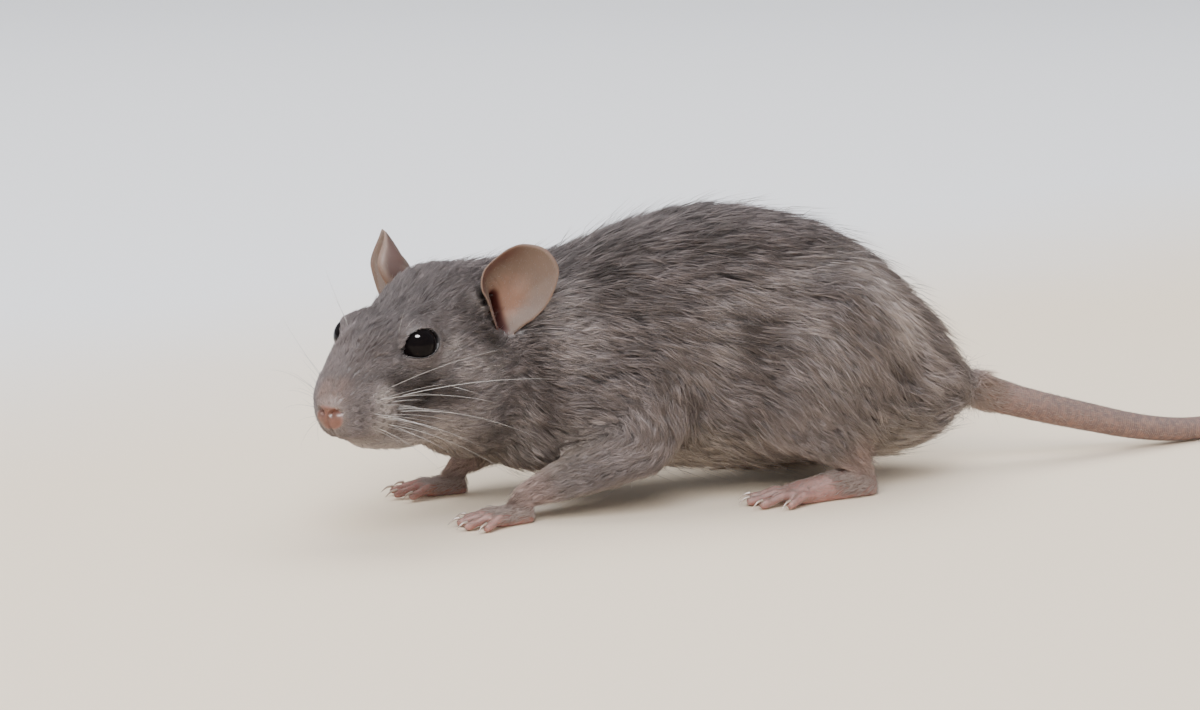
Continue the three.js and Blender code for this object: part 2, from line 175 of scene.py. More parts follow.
def joined(pieces: Sequence[bpy.types.Object], name: str) -> bpy.types.Object:
    """Joins pieces into the first one and names it."""
    alone(*pieces)
    if len(pieces) > 1:
        bpy.ops.object.join()
    pieces[0].name = pieces[0].data.name = name
    return pieces[0]


def smooth_shaded(piece: bpy.types.Object) -> bpy.types.Object:
    """Shades a piece smooth and returns it."""
    alone(piece)
    bpy.ops.object.shade_smooth()
    return piece


def select_faces(piece: bpy.types.Object, wanted: np.ndarray) -> None:
    """Opens edit mode with just these faces selected."""
    alone(piece)
    bpy.ops.object.mode_set(mode="EDIT")
    bpy.ops.mesh.select_mode(type="FACE")
    bpy.ops.mesh.select_all(action="DESELECT")
    bpy.ops.object.mode_set(mode="OBJECT")
    piece.data.polygons.foreach_set("select", wanted)
    bpy.ops.object.mode_set(mode="EDIT")


def refine(piece: bpy.types.Object, near: Callable[[np.ndarray], np.ndarray], smooth: float = 0.0) -> None:
    """Halves the faces whose centres pass a test.

    Args:
        piece: The mesh.
        near: Takes face centres in millimetres and returns which ones to divide.
        smooth: How far the new vertices round the surface.
    """
    select_faces(piece, near(listed(piece.data.polygons, "center") / MM))
    bpy.ops.mesh.subdivide(number_cuts=1, smoothness=smooth)
    bpy.ops.object.mode_set(mode="OBJECT")


def tube(name: str, path: np.ndarray, radii: np.ndarray, sides: int) -> bpy.types.Object:
    """A closed mesh tube along a path, in millimetres, as thick at each point as radii says."""
    curve = bpy.data.curves.new(name, "CURVE")
    curve.dimensions = "3D"
    curve.bevel_depth = MM
    curve.bevel_resolution = max(0, (sides - 4) // 2)
    curve.use_fill_caps = True
    spline = curve.splines.new("POLY")
    spline.points.add(len(path) - 1)
    spline.points.foreach_set("co", np.c_[path * MM, np.ones(len(path))].ravel())
    spline.points.foreach_set("radius", radii)
    alone(placed(name, curve))
    bpy.ops.object.convert(target="MESH")
    return cleaned(bpy.context.view_layer.objects.active, MERGE / 10)


def curve_through(points: np.ndarray, count: int) -> np.ndarray:
    """Evenly many points on a Catmull-Rom curve through given ones."""
    padded = np.vstack([2 * points[0] - points[1], points, 2 * points[-1] - points[-2]])
    place = np.linspace(0, len(points) - 1 - 1e-9, count)
    i = place.astype(int)
    t = (place - i)[:, None]
    a, b, c, d = padded[i], padded[i + 1], padded[i + 2], padded[i + 3]
    return 0.5 * (
        2 * b + (c - a) * t + (2 * a - 5 * b + 4 * c - d) * t**2 + (3 * b - a - 3 * c + d) * t**3
    )


def closed_curve(points: np.ndarray, count: int) -> np.ndarray:
    """Evenly spaced points of a smooth loop through the given ones. The last repeats the first."""
    a, b, c, d = (np.roll(points, k, axis=0)[:, None] for k in (1, 0, -1, -2))
    t = np.linspace(0, 1, 16, endpoint=False)[None, :, None]
    bend = (2 * a - 5 * b + 4 * c - d) * t**2 + (3 * b - a - 3 * c + d) * t**3
    loop = (0.5 * (2 * b + (c - a) * t + bend)).reshape(-1, points.shape[1])
    loop = np.vstack([loop, loop[:1]])
    run = np.concatenate([[0], np.cumsum(np.linalg.norm(np.diff(loop, axis=0), axis=1))])
    even = np.linspace(0, run[-1], count)
    return np.stack([np.interp(even, run, loop[:, k]) for k in range(points.shape[1])], axis=1)


def off_line(points: np.ndarray, line: np.ndarray) -> tuple[np.ndarray, np.ndarray]:
    """Distance of points from a line of straight stretches, and how far along it they lie."""
    best = np.full(len(points), np.inf)
    along = np.zeros(len(points))
    run = 0.0
    for start, stop in zip(line[:-1], line[1:]):
        step = stop - start
        length = np.linalg.norm(step)
        share = np.clip((points - start) @ step / length**2, 0, 1)
        gap = np.linalg.norm(points - start - share[:, None] * step, axis=1)
        closer = gap < best
        best[closer] = gap[closer]
        along[closer] = run + share[closer] * length
        run += length
    return best, along


class Web:
    """The edges of a mesh, for averaging values over neighbours."""

    def __init__(self, piece: bpy.types.Object) -> None:
        """Reads the edges of a mesh."""
        ends = np.empty(len(piece.data.edges) * 2, np.int32)
        piece.data.edges.foreach_get("vertices", ends)
        ends = ends.reshape(-1, 2)
        self.here = np.r_[ends[:, 0], ends[:, 1]]
        self.there = np.r_[ends[:, 1], ends[:, 0]]
        self.size = len(piece.data.vertices)
        self.degree = np.maximum(np.bincount(self.here, minlength=self.size), 1)

    def blur(self, values: np.ndarray, rounds: int, share: np.ndarray | float = 0.5) -> np.ndarray:
        """Moves each value towards its neighbours' mean, again and again.

        Args:
            values: One row for each vertex.
            rounds: How often.
            share: How far to move each time, for all vertices or for each.

        Returns:
            The new values.
        """
        part = np.broadcast_to(share, self.size)[:, None]
        table = values.reshape(self.size, -1).astype(float)
        for _ in range(rounds):
            mean = np.stack(
                [np.bincount(self.here, column[self.there], self.size) for column in table.T], axis=1
            )
            table = table + part * (mean / self.degree[:, None] - table)
        return table.reshape(values.shape)


# ---------------------------------------------------------------- shader tools


class Sock:
    """A shader output that takes part in sums and products."""

    def __init__(self, kit: "ShaderKit", socket: bpy.types.NodeSocket) -> None:
        self.kit = kit
        self.socket = socket

    def __add__(self, other: Number) -> "Sock":
        """This plus other."""
        return self.kit.math("ADD", self, other)

    __radd__ = __add__

    def __sub__(self, other: Number) -> "Sock":
        """This less other."""
        return self.kit.math("SUBTRACT", self, other)

    def __rsub__(self, other: Number) -> "Sock":
        """Other less this."""
        return self.kit.math("SUBTRACT", other, self)

    def __mul__(self, other: Number) -> "Sock":
        """This times other."""
        return self.kit.math("MULTIPLY", self, other)

    __rmul__ = __mul__

    def __truediv__(self, other: Number) -> "Sock":
        """This over other."""
        return self.kit.math("DIVIDE", self, other)

    def __pow__(self, other: Number) -> "Sock":
        """This to the power other."""
        return self.kit.math("POWER", self, other)


class ShaderKit:
    """Builds one material out of nodes."""

    def __init__(self, name: str) -> None:
        """Starts an empty material."""
        self.material = bpy.data.materials.new(name)
        self.material.use_nodes = True
        self.tree = self.material.node_tree
        self.tree.nodes.clear()

    def node(
        self,
        kind: str,
        settings: dict[str, object] | None = None,
        inputs: dict[Union[int, str], object] | None = None,
        output: Union[int, str] = 0,
    ) -> Sock:
        """Adds any node.

        Args:
            kind: The node's type.
            settings: Its own settings, which are set first.
            inputs: Values or links of its sockets, by number or name.
            output: The output to hand back.

        Returns:
            That output.
        """
        made = self.tree.nodes.new(kind)
        for name, value in (settings or {}).items():
            setattr(made, name, value)
        for name, value in (inputs or {}).items():
            if isinstance(value, Sock):
                self.tree.links.new(value.socket, made.inputs[name])
            else:
                made.inputs[name].default_value = value
        return Sock(self, made.outputs[output])

    def math(self, operation: str, *values: Number) -> Sock:
        """Adds a Math node on one or two values."""
        return self.node("ShaderNodeMath", {"operation": operation}, dict(enumerate(values)))

    def vector(self, operation: str, *values: object, output: Union[int, str] = 0) -> Sock:
        """Adds a Vector Math node on one or two vectors."""
        return self.node("ShaderNodeVectorMath", {"operation": operation}, dict(enumerate(values)), output)

    def tinted(self, colour: object, strength: Number) -> Sock:
        """A colour made darker or lighter, or a vector made shorter or longer."""
        inputs = {0: colour, "Scale": strength}
        return self.node("ShaderNodeVectorMath", {"operation": "SCALE"}, inputs)

    def place(self) -> Sock:
        """The surface point in millimetres."""
        return self.tinted(self.node("ShaderNodeTexCoord", output="Object"), 1 / MM)

    def attribute(self, name: str) -> Sock:
        """A value that the mesh carries."""
        return self.node("ShaderNodeAttribute", {"attribute_name": name}, output="Fac")

    def axis(self, point: Sock, origin: Triple, way: Triple) -> Sock:
        """How far a point lies from an origin along a direction."""
        gap = self.vector("SUBTRACT", point, origin)
        return self.vector("DOT_PRODUCT", gap, way, output="Value")

    def distance(self, point: Sock, origin: Union[Triple, Sock]) -> Sock:
        """How far a point lies from an origin."""
        return self.vector("DISTANCE", point, origin, output="Value")

    def from_line(self, point: Sock, start: Triple, stop: Triple) -> Sock:
        """How far a point lies from a straight stretch."""
        step = np.subtract(stop, start)
        length = float(np.linalg.norm(step))
        run = self.axis(point, start, tuple(step / length**2))
        share = self.node("ShaderNodeClamp", inputs={"Value": run})
        return self.distance(point, self.vector("ADD", self.tinted(tuple(step), share), start))

    def step(self, value: Sock, start: float, stop: float) -> Sock:
        """Zero up to start, one from stop on, and a smooth step between them."""
        falling = start > stop
        low, high = (stop, start) if falling else (start, stop)
        ends = (1.0, 0.0) if falling else (0.0, 1.0)
        inputs = {"Value": value, 1: low, 2: high, 3: ends[0], 4: ends[1]}
        return self.node("ShaderNodeMapRange", {"interpolation_type": "SMOOTHSTEP"}, inputs)

    def mix(self, share: Number, first: object, second: object) -> Sock:
        """Blends two colours, whose sockets on this node are the seventh and eighth."""
        return self.node("ShaderNodeMix", {"data_type": "RGBA"}, {0: share, 6: first, 7: second}, 2)

    def noise(self, point: Sock, scale: float, detail: float = 2.0, stretch: Triple = (1, 1, 1)) -> Sock:
        """A cloudy value about a half, at so many lumps a millimetre."""
        moved = self.node("ShaderNodeMapping", inputs={"Vector": point, "Scale": stretch})
        inputs = {"Vector": moved, "Scale": scale, "Detail": detail}
        return self.node("ShaderNodeTexNoise", inputs=inputs)

    def bump(self, height: Sock, depth: float, strength: float = 1.0) -> Sock:
        """A normal that stands for bumps up to depth millimetres high."""
        inputs = {"Strength": strength, "Distance": depth * MM, "Height": height}
        return self.node("ShaderNodeBump", inputs=inputs, output="Normal")

    def close(self, **sockets: object) -> bpy.types.Material:
        """Ends the material in a Principled shader with these sockets, spaces given as _."""
        inputs = {name.replace("_", " "): value for name, value in sockets.items()}
        shader = self.node("ShaderNodeBsdfPrincipled", inputs=inputs)
        end = self.tree.nodes.new("ShaderNodeOutputMaterial")
        self.tree.links.new(shader.socket, end.inputs["Surface"])
        return self.material


# ---------------------------------------------------------------- the animal's own frames


@dataclass(frozen=True)
class Head:
    """Where the head is: its origin is the tip of the nose."""

    nose: Triple = (-129.194, -36.677, 26.2)
    turn: float = 39.0
    pitch: float = 14.0

    def axes(self) -> np.ndarray:
        """Rows that point back, to the animal's left, and up."""
        turn, pitch = math.radians(self.turn), math.radians(self.pitch)
        back = np.array(
            [math.cos(turn) * math.cos(pitch), math.sin(turn) * math.cos(pitch), math.sin(pitch)]
        )
        left = np.array([math.sin(turn), -math.cos(turn), 0.0])
        return np.array([back, left, np.cross(left, back)])

    def local(self, points: np.ndarray) -> np.ndarray:
        """Points as distances back from the nose tip, to the left, and up."""
        return (points - np.array(self.nose)) @ self.axes().T

    def world(self, local: np.ndarray) -> np.ndarray:
        """The reverse of local."""
        return np.asarray(local) @ self.axes() + np.array(self.nose)


HEAD = Head()
MIDDLE = np.array([-66.494, -7.877, 0.0])  # from the CAD source's own origin to the frame's


def on_side(side: Side, x: float, out: float, z: float) -> np.ndarray:
    """A point given as in the CAD source: along the body, out to a side, and up."""
    return np.array([x, side.value * out, z]) + MIDDLE


@dataclass(frozen=True)
class EyeSocket:
    """One eye: a ball let into the head, and the almond between its lids."""

    side: Side
    back: float = 20.8
    out: float = 7.5
    up: float = 6.8
    radius: float = 3.75
    gaze: Triple = (-0.42, 0.84, 0.34)
    half_long: float = 3.55
    half_tall: float = 2.58
    tilt: float = 12.0
    lid: float = 0.4
    corner: tuple[float, float] = (-3.1, -0.8)
    corner_half: tuple[float, float] = (1.4, 0.5)
    corner_soft: float = 1.1
    brow_turn: float = 0.72
    brow_fall: float = 1.1
    brow_soft: float = 1.5
    pocket: float = 1.6

    def centre(self) -> np.ndarray:
        """The middle of the ball."""
        return HEAD.world([self.back, -self.side.value * self.out, self.up])

    def axes(self) -> np.ndarray:
        """Rows along the slit towards the ear, across it upwards, and out of the ball."""
        sign = -self.side.value
        out = unit(np.array([self.gaze[0], sign * self.gaze[1], self.gaze[2]])) @ HEAD.axes()
        back = HEAD.axes()[0]
        along = unit(back - out * (back @ out))
        up = unit(np.cross(out, along))
        up *= math.copysign(1, up @ HEAD.axes()[2])
        tilt = math.radians(self.tilt)
        slit = along * math.cos(tilt) - up * math.sin(tilt)
        return np.array([slit, unit(up - slit * (up @ slit)), out])

    def local(self, points: np.ndarray) -> np.ndarray:
        """Points in the socket's own frame."""
        return (points - self.centre()) @ self.axes().T

    def gap(self, local: np.ndarray) -> np.ndarray:
        """How far points lie outside the opening between the lids. It is negative inside."""
        a, b = local[:, 0], local[:, 1]
        ball = (np.hypot(a / self.half_long, b / self.half_tall) - 1) * self.half_tall
        (left, low), (long, tall) = self.corner, self.corner_half
        corner = (np.hypot((a - left) / long, (b - low) / tall) - 1) * tall
        blend = np.clip(0.5 + 0.5 * (corner - ball) / self.corner_soft, 0, 1)
        return corner * (1 - blend) + ball * blend - self.corner_soft * blend * (1 - blend)


@dataclass(frozen=True)
class CoatRule:
    """The hair of one part: lengths in millimetres, tufts for each square millimetre."""

    length: float
    rise: float
    width: float
    density: float
    inset: float


RULES: dict[str, CoatRule] = {
    "nose": CoatRule(1.7, 0.26, 0.1, 15.0, 0.2),
    "head": CoatRule(4.2, 0.75, 0.12, 17.0, 0.75),
    "lower_jaw": CoatRule(2.8, 0.55, 0.12, 16.0, 0.5),
    "neck": CoatRule(6.6, 1.4, 0.17, 11.0, 1.5),
    "chest": CoatRule(8.0, 1.7, 0.2, 9.0, 1.9),
    "belly": CoatRule(8.6, 1.8, 0.2, 8.6, 2.0),
    "rump": CoatRule(9.2, 1.9, 0.2, 8.6, 2.1),
    "upper_arm": CoatRule(5.8, 1.2, 0.17, 11.0, 1.2),
    "forearm": CoatRule(4.0, 0.7, 0.14, 14.0, 0.75),
    "thigh": CoatRule(7.6, 1.6, 0.2, 9.0, 1.7),
    "shank": CoatRule(4.6, 0.9, 0.16, 12.0, 0.9),
    "fore_foot": CoatRule(1.2, 0.14, 0.07, 4.0, 0.0),
    "hind_foot": CoatRule(1.4, 0.16, 0.07, 4.0, 0.0),
    "tail_1": CoatRule(1.4, 0.2, 0.07, 1.6, 0.0),
    "tail_2": CoatRule(1.1, 0.18, 0.06, 1.4, 0.0),
    "tail_3": CoatRule(0.9, 0.15, 0.05, 1.4, 0.0),
    "tail_4": CoatRule(0.8, 0.13, 0.04, 1.4, 0.0),
    "ear": CoatRule(1.0, 0.12, 0.06, 5.0, 0.6),
    "eye": CoatRule(2.0, 0.35, 0.1, 17.0, 0.6),
}


# Changes of length, rise, width and density, as shares, near the nose and round the lids.
MUZZLE_HAIR = np.array([-0.62, -0.62, -0.35, 0.9])
LID_HAIR = np.array([-0.6, -0.55, -0.2, 0.6])
# Length, rise, width and density over wrist and hock, over the tail's root, and on the ears.
JOINT_HAIR = np.array([3.0, 0.5, 0.13, 14.0])
DOCK_HAIR = np.array([4.5, 0.7, 0.14, 9.0])
EAR_HAIR = np.array([0.8, 0.08, 0.035, 1.6])


def family(node: str) -> str:
    """A node's name without its side."""
    return node.replace("_left", "").replace("_right", "")


FLESH = [
    "nose", "head", "lower_jaw", "neck", "chest", "belly", "rump",
    *(f"{limb}_{side.word}" for side in Side for limb in ("upper_arm", "forearm", "thigh", "shank")),
]  # fmt: skip
LIMB_LINES: dict[str, list[Triple]] = {
    "fore_left": [(9, 13, 28), (4, 17.2, 13.6), (-20.8, 16.4, 5.4)],
    "fore_right": [(0, 13, 26), (-9, 15, 15), (-26.8, 11, 5.6)],
    "hind_left": [(52, 12.4, 34), (33, 17, 19), (50, 16, 6.6)],
    "hind_right": [(52, 12.4, 34), (35, 17, 19), (53, 16, 6.6)],
}
FOOT_TURN = {"fore_left": 8.0, "fore_right": 2.0, "hind_left": 7.0, "hind_right": 9.0}
TAIL_LINE = np.array([
    [71, 0, 20.2], [78.2, 0, 18], [86, 0.3, 15.4], [97, 1.2, 12], [110, 2.8, 8.4], [123, 5, 5],
    [136, 8, 2.85], [150, 12.4, 2.35], [164, 18.4, 1.95], [177, 26.4, 1.55], [188, 36, 1.15],
    [196, 46, 0.78],
]) + MIDDLE  # fmt: skip


def foot_node(limb: str) -> str:
    """The CAD node of a limb's foot."""
    pair, side = limb.split("_")
    return f"{pair}_foot_{side}"


def limb_point(limb: str, joint: int) -> np.ndarray:
    """A joint of a limb, counted from the trunk."""
    side = Side.LEFT if limb.endswith("left") else Side.RIGHT
    return on_side(side, *LIMB_LINES[limb][joint])


# ---------------------------------------------------------------- ears


EAR_RIM = np.array([  # along the width, up the height, out of the opening
    [10.6, 6.9, 3.4], [10.4, 10.4, 3.6], [7.1, 13.8, 4.2], [2.5, 14.7, 4.8], [-0.5, 13.8, 5.0],
    [-3.0, 11.8, 5.0], [-4.7, 9.8, 4.8], [-5.2, 7.6, 4.4], [-4.7, 5.4, 3.8], [-3.2, 3.4, 2.9],
    [-1.9, 1.2, 2.2], [-0.7, -1.2, 1.7], [0.6, -3.4, 1.3], [2.2, -4.8, 1.0], [3.9, -3.9, 1.2],
    [5.2, -2.3, 1.6], [7.4, -0.1, 2.5], [9.4, 2.8, 3.0],
])  # fmt: skip


@dataclass(frozen=True)
class Ear:
    """A thin cupped ear, with the slit of its canal along its front lower edge."""

    side: Side
    canal: Triple = (42.4, 10.4, 4.6)
    hub: tuple[float, float] = (1.5, 0.0)
    sunk: float = 1.4
    thickness: float = 0.6
    spokes: int = 90
    rings: int = 20

    def axes(self) -> np.ndarray:
        """Rows along the ear's width towards its rear edge, up it, and out of its opening."""
        swivel = math.radians(37 if self.side is Side.LEFT else 50)
        back, left, up = HEAD.axes()
        out = -self.side.value * left
        tall = unit(up + 0.12 * out + 0.3 * back)
        opening = math.cos(swivel) * out - math.sin(swivel) * back
        opening = unit(opening - tall * (opening @ tall))
        return np.array([np.cross(opening, tall) * self.side.value, tall, opening])

    def root(self) -> np.ndarray:
        """Where the funnel enters the skull."""
        return HEAD.world([self.canal[0], -self.side.value * self.canal[1], self.canal[2]])

    def rim(self, angle: np.ndarray) -> np.ndarray:
        """Points of the rim, for turns round the cup that start at its rear edge."""
        loop = closed_curve(EAR_RIM, 361)
        if self.side is Side.RIGHT:
            loop[:, 2] *= 1.5 - 0.75 * ease(loop[:, 1], 7, 14.7)
        turn = np.linspace(0, 2 * math.pi, 361)
        angle = np.mod(angle, 2 * math.pi)
        return np.stack([np.interp(angle, turn, loop[:, k]) for k in range(3)], axis=-1)

    def shape(self, share: np.ndarray, angle: np.ndarray) -> np.ndarray:
        """Points of the cup in its own frame.

        Args:
            share: How far out from the funnel to the rim.
            angle: Round the cup from its rear edge upwards.

        Returns:
            Distances along the width, the height and the opening.
        """
        edge = self.rim(angle)
        curl = 1.8 + 1.6 * ease(edge[..., 2], 3.6, 5.2)
        out = (edge[..., 2] + self.sunk) * share**curl - self.sunk
        x = self.hub[0] + (edge[..., 0] - self.hub[0]) * share
        y = self.hub[1] + (edge[..., 1] - self.hub[1]) * share
        slit = self.slit(x, y)
        out = out - 3.0 * np.exp(-((slit / 0.95) ** 2)) * ease(-share, -1.0, -0.75)
        out = out + 0.7 * np.exp(-(((x - 4.2) / 2.0) ** 2) - ((y - 4.4) / 2.6) ** 2)
        fold = np.abs(y - 5.2 + 0.75 * x)
        out = out + 0.4 * np.exp(-((fold / 0.6) ** 2)) * ease(-x, -1.5, 1.0) * ease(-share, -0.95, -0.7)
        return np.stack([x, y, out], axis=-1)

    @staticmethod
    def slit(x: np.ndarray, y: np.ndarray) -> np.ndarray:
        """How far points of the cup lie from the canal's slit."""
        top, run = np.array([-0.7, 3.0]), np.array([2.4, -6.8])
        share = np.clip(((x - top[0]) * run[0] + (y - top[1]) * run[1]) / (run @ run), 0, 1)
        return np.hypot(x - top[0] - share * run[0], y - top[1] - share * run[1])

    def share_of(self, local: np.ndarray) -> tuple[np.ndarray, np.ndarray]:
        """How far out towards the rim points of the ear's frame lie, and at which turn."""
        turn = np.linspace(0, 2 * math.pi, 721)[:-1]
        edge = self.rim(turn)[:, :2] - self.hub
        way = np.mod(np.arctan2(edge[:, 1], edge[:, 0]), 2 * math.pi)
        order = np.argsort(way)
        gap = local[:, :2] - self.hub
        seen = np.mod(np.arctan2(gap[:, 1], gap[:, 0]), 2 * math.pi)
        reach = np.hypot(edge[:, 0], edge[:, 1])[order]
        at = np.interp(seen, way[order], reach, period=2 * math.pi)
        nearest = np.clip(np.searchsorted(way[order], seen), 0, 719)
        return np.hypot(gap[:, 0], gap[:, 1]) / at, turn[order][nearest]

    def hollow(self, points: np.ndarray) -> np.ndarray:
        """Moves points of the head out of the cup's way, to below its floor."""
        local = (points - self.root()) @ self.axes().T
        share, turn = self.share_of(local)
        floor = self.shape(np.clip(share, 0, 1), turn)[:, 2] - 0.55
        near = (share < 1.0) & (local[:, 2] > -7) & (local[:, 2] < 9)
        fade = ease(-share, -1.0, -0.86)
        lower = np.minimum(local[:, 2], floor)
        local[:, 2] = np.where(near, local[:, 2] + (lower - local[:, 2]) * fade, local[:, 2])
        return local @ self.axes() + self.root()

    def build(self) -> bpy.types.Object:
        """The ear as a closed shell with a rounded rim."""
        alone()
        bpy.ops.mesh.primitive_uv_sphere_add(
            segments=self.spokes, ring_count=self.rings * 2, radius=1.0, location=(0, 0, 0)
        )
        piece = bpy.context.object
        points = read(piece) * MM
        polar = np.arccos(np.clip(points[:, 2], -1, 1)) / (math.pi / 2)
        angle = np.arctan2(points[:, 1], points[:, 0])
        front = polar < 1
        share = np.where(front, polar, 2 - polar)
        cup = self.shape(share, angle)
        step = 1e-3
        along = self.shape(share + step, angle) - self.shape(np.maximum(share - step, 0), angle)
        round_ = self.shape(share, angle + step) - self.shape(share, angle - step)
        across = unit(np.cross(along, round_) + [0, 0, 1e-9])
        across *= np.sign(across[:, 2:3] + 1e-9)
        half = self.thickness / 2 * np.sqrt(np.clip(1 - share**14, 0, 1)) * (1 + 0.7 * (1 - share))
        cup += across * np.where(front, half, -half)[:, None]
        write(piece, cup @ self.axes() + self.root())
        piece.name = f"work_ear_{self.side.word}"
        return cleaned(piece)


# ---------------------------------------------------------------- skin


HEAD_FORMS = (  # back, out, up, radius, height
    (7.4, 5.8, -3.2, 4.2, 0.8),
    (3.6, 2.6, -4.6, 3.2, 0.8),
    (16.5, 3.4, 9.4, 4.8, 1.7),
    (12.0, 3.0, 7.2, 4.6, 1.15),
    (7.5, 2.8, 4.8, 4.0, 0.75),
    (4.2, 2.2, 3.4, 3.0, 0.45),
    (23.0, 7.6, 11.4, 3.8, -0.7),
    (27.0, 11.4, 0.0, 6.0, 0.3),
    (30.0, 11.0, -9.0, 8.0, 0.4),
    (30.0, 4.0, 14.0, 9.0, -0.75),
)


@dataclass
class Skin:
    """The one skin of the animal, from the nose to the tip of the tail."""

    voxel: float = 1.08
    foot_voxel: float = 0.4
    seam: float = 0.2
    sockets: tuple[EyeSocket, ...] = (EyeSocket(Side.LEFT), EyeSocket(Side.RIGHT))
    ears: tuple[Ear, ...] = (Ear(Side.LEFT), Ear(Side.RIGHT))
    piece: bpy.types.Object = field(init=False)
    labels: list[str] = field(init=False)
    tree: BVHTree = field(init=False)
    ear_trees: list[BVHTree] = field(init=False)
    sunk: np.ndarray = field(init=False)

    def build(self) -> bpy.types.Object:
        """Builds the skin, and returns it with its fields written on it."""
        trees = self.cad_tree()
        body = self.carcass()
        self.shape_head(body)
        self.inset(body, trees)
        for level in (0, 1):
            refine(body, self.fine_test(level))
        self.carve_eyes(body)
        self.carve_muzzle(body)
        for ear in self.ears:
            write(body, ear.hollow(read(body)))
        parts = [self.foot(limb) for limb in LIMB_LINES]
        parts.append(self.tail())
        shells = [ear.build() for ear in self.ears]
        self.ear_trees = [self.search_tree(shell) for shell in shells]
        parts += shells
        for part in parts:
            self.unite(body, part)
        self.blend(body)
        self.piece = smooth_shaded(joined([body], "skin"))
        self.unwrap()
        self.mark(trees)
        return self.piece

    @staticmethod
    def search_tree(piece: bpy.types.Object) -> BVHTree:
        """A search tree over a mesh, in millimetres."""
        faces = [tuple(face.vertices) for face in piece.data.polygons]
        return BVHTree.FromPolygons([Vector(point) for point in read(piece)], faces)

    def cad_tree(self) -> tuple[BVHTree, list[str]]:
        """One search tree over all CAD nodes but the claws, and the node of each of its faces."""
        corners: list[Vector] = []
        faces: list[tuple[int, ...]] = []
        owners: list[str] = []
        for name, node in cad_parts.items():
            if "claw" in name:
                continue
            first = len(corners)
            corners += [v.co / MM for v in node.data.vertices]
            for face in node.data.polygons:
                faces.append(tuple(first + i for i in face.vertices))
                owners.append(name)
        return BVHTree.FromPolygons(corners, faces), owners

    def carcass(self) -> bpy.types.Object:
        """Grown copies of the solids, joined and remeshed into one smooth body."""
        copies = [copy_node(name) for name in FLESH]
        for one in copies:
            write(one, read(one) + self.seam * normals(one))
        for limb in LIMB_LINES:
            alone()
            place = Vector(limb_point(limb, 2) * MM)
            radius = 2.9 if limb.startswith("fore") else 3.3
            bpy.ops.mesh.primitive_ico_sphere_add(subdivisions=3, radius=radius * MM, location=place)
            bpy.ops.object.transform_apply(location=True, rotation=False, scale=False)
            copies.append(bpy.context.object)
        body = joined(copies, "work_body")
        finish_with(body, "REMESH", mode="VOXEL", voxel_size=self.voxel * MM)
        points = read(body)
        web = Web(body)
        back = HEAD.local(points)[:, 0]
        points = web.blur(points, 5)
        trunk = ease(back, 44, 60) * ease(points[:, 2], 7, 16)
        points = web.blur(points, 14, 0.5 * trunk)
        write(body, points)
        refine(body, lambda centre: HEAD.local(centre)[:, 0] < 47, 0.6)
        write(body, Web(body).blur(read(body), 3))
        return body

    def shape_head(self, body: bpy.types.Object) -> None:
        """Raises and lowers the skull's own forms: brow, cheek, whisker pad and muzzle."""
        points = read(body)
        local = HEAD.local(points)
        lift = np.zeros(len(points))
        for back, out, up, radius, height in HEAD_FORMS:
            for sign in (-1, 1):
                gap = np.linalg.norm(local - [back, sign * out, up], axis=1)
                lift += height * np.exp(-((gap / radius) ** 2))
        write(body, points + lift[:, None] * normals(body))

    def inset(self, body: bpy.types.Object, trees: tuple[BVHTree, list[str]]) -> None:
        """Draws the body in by the depth of the coat."""
        points = read(body)
        web = Web(body)
        depth = np.array([RULES[family(self.owner(trees, p))].inset for p in points])
        depth = web.blur(depth, 30)
        write(body, points - depth[:, None] * unit(web.blur(normals(body), 6)))
        write(body, web.blur(read(body), 2))

    @staticmethod
    def owner(trees: tuple[BVHTree, list[str]], point: np.ndarray) -> str:
        """The CAD node nearest to a point."""
        return trees[1][trees[0].find_nearest(Vector(point))[2]]

    def fine_test(self, level: int) -> Callable[[np.ndarray], np.ndarray]:
        """Which faces the eyes and the muzzle need finer, at each of two levels."""
        reach = (6.2, 5.0)[level]
        muzzle = (8.0, 3.8)[level]

        def test(centre: np.ndarray) -> np.ndarray:
            near = HEAD.local(centre)[:, 0] < muzzle
            for socket in self.sockets:
                local = socket.local(centre)
                near |= (np.linalg.norm(local, axis=1) < reach) & (local[:, 2] > -1.5)
            return near

        return test

    def carve_eyes(self, body: bpy.types.Object) -> None:
        """Wraps the lids over each ball and opens the almond between them."""
        points = read(body)
        for socket in self.sockets:
            local = socket.local(points)
            flat = np.hypot(local[:, 0], local[:, 1])
            near = (flat < 7.5) & (local[:, 2] > -3.5) & (local[:, 2] < 6)
            here = local[near]
            flat = flat[near]
            gap = socket.gap(here)
            cover = socket.radius + socket.lid
            turn = socket.brow_turn * cover
            dome = np.sqrt(cover**2 - np.minimum(flat, turn) ** 2)
            dome -= socket.brow_fall * np.clip(flat - turn, 0, None)
            dome -= 0.1 * ease(-gap, -0.35, 0.05) + 0.5 * ease(gap, 0.6, 2.4)
            level = here[:, 2]
            soft = socket.brow_soft
            share = np.clip(0.5 + 0.5 * (dome - level) / soft, 0, 1)
            lidded = level * (1 - share) + dome * share + soft * share * (1 - share)
            lidded = level + (lidded - level) * ease(-flat, -7.2, -4.0)
            hole = ease(-gap, -0.04, 0.06)
            floor = np.minimum(level, 0.2) - socket.pocket
            here[:, 2] = lidded * (1 - hole) + floor * hole
            local[near] = here
            points[near] = local[near] @ socket.axes() + socket.centre()
        write(body, points)

    def carve_muzzle(self, body: bpy.types.Object) -> None:
        """Cuts nostrils, the groove below them and the mouth."""
        points = read(body)
        write(body, points - self.muzzle_cuts(HEAD.local(points))[:, None] * normals(body))

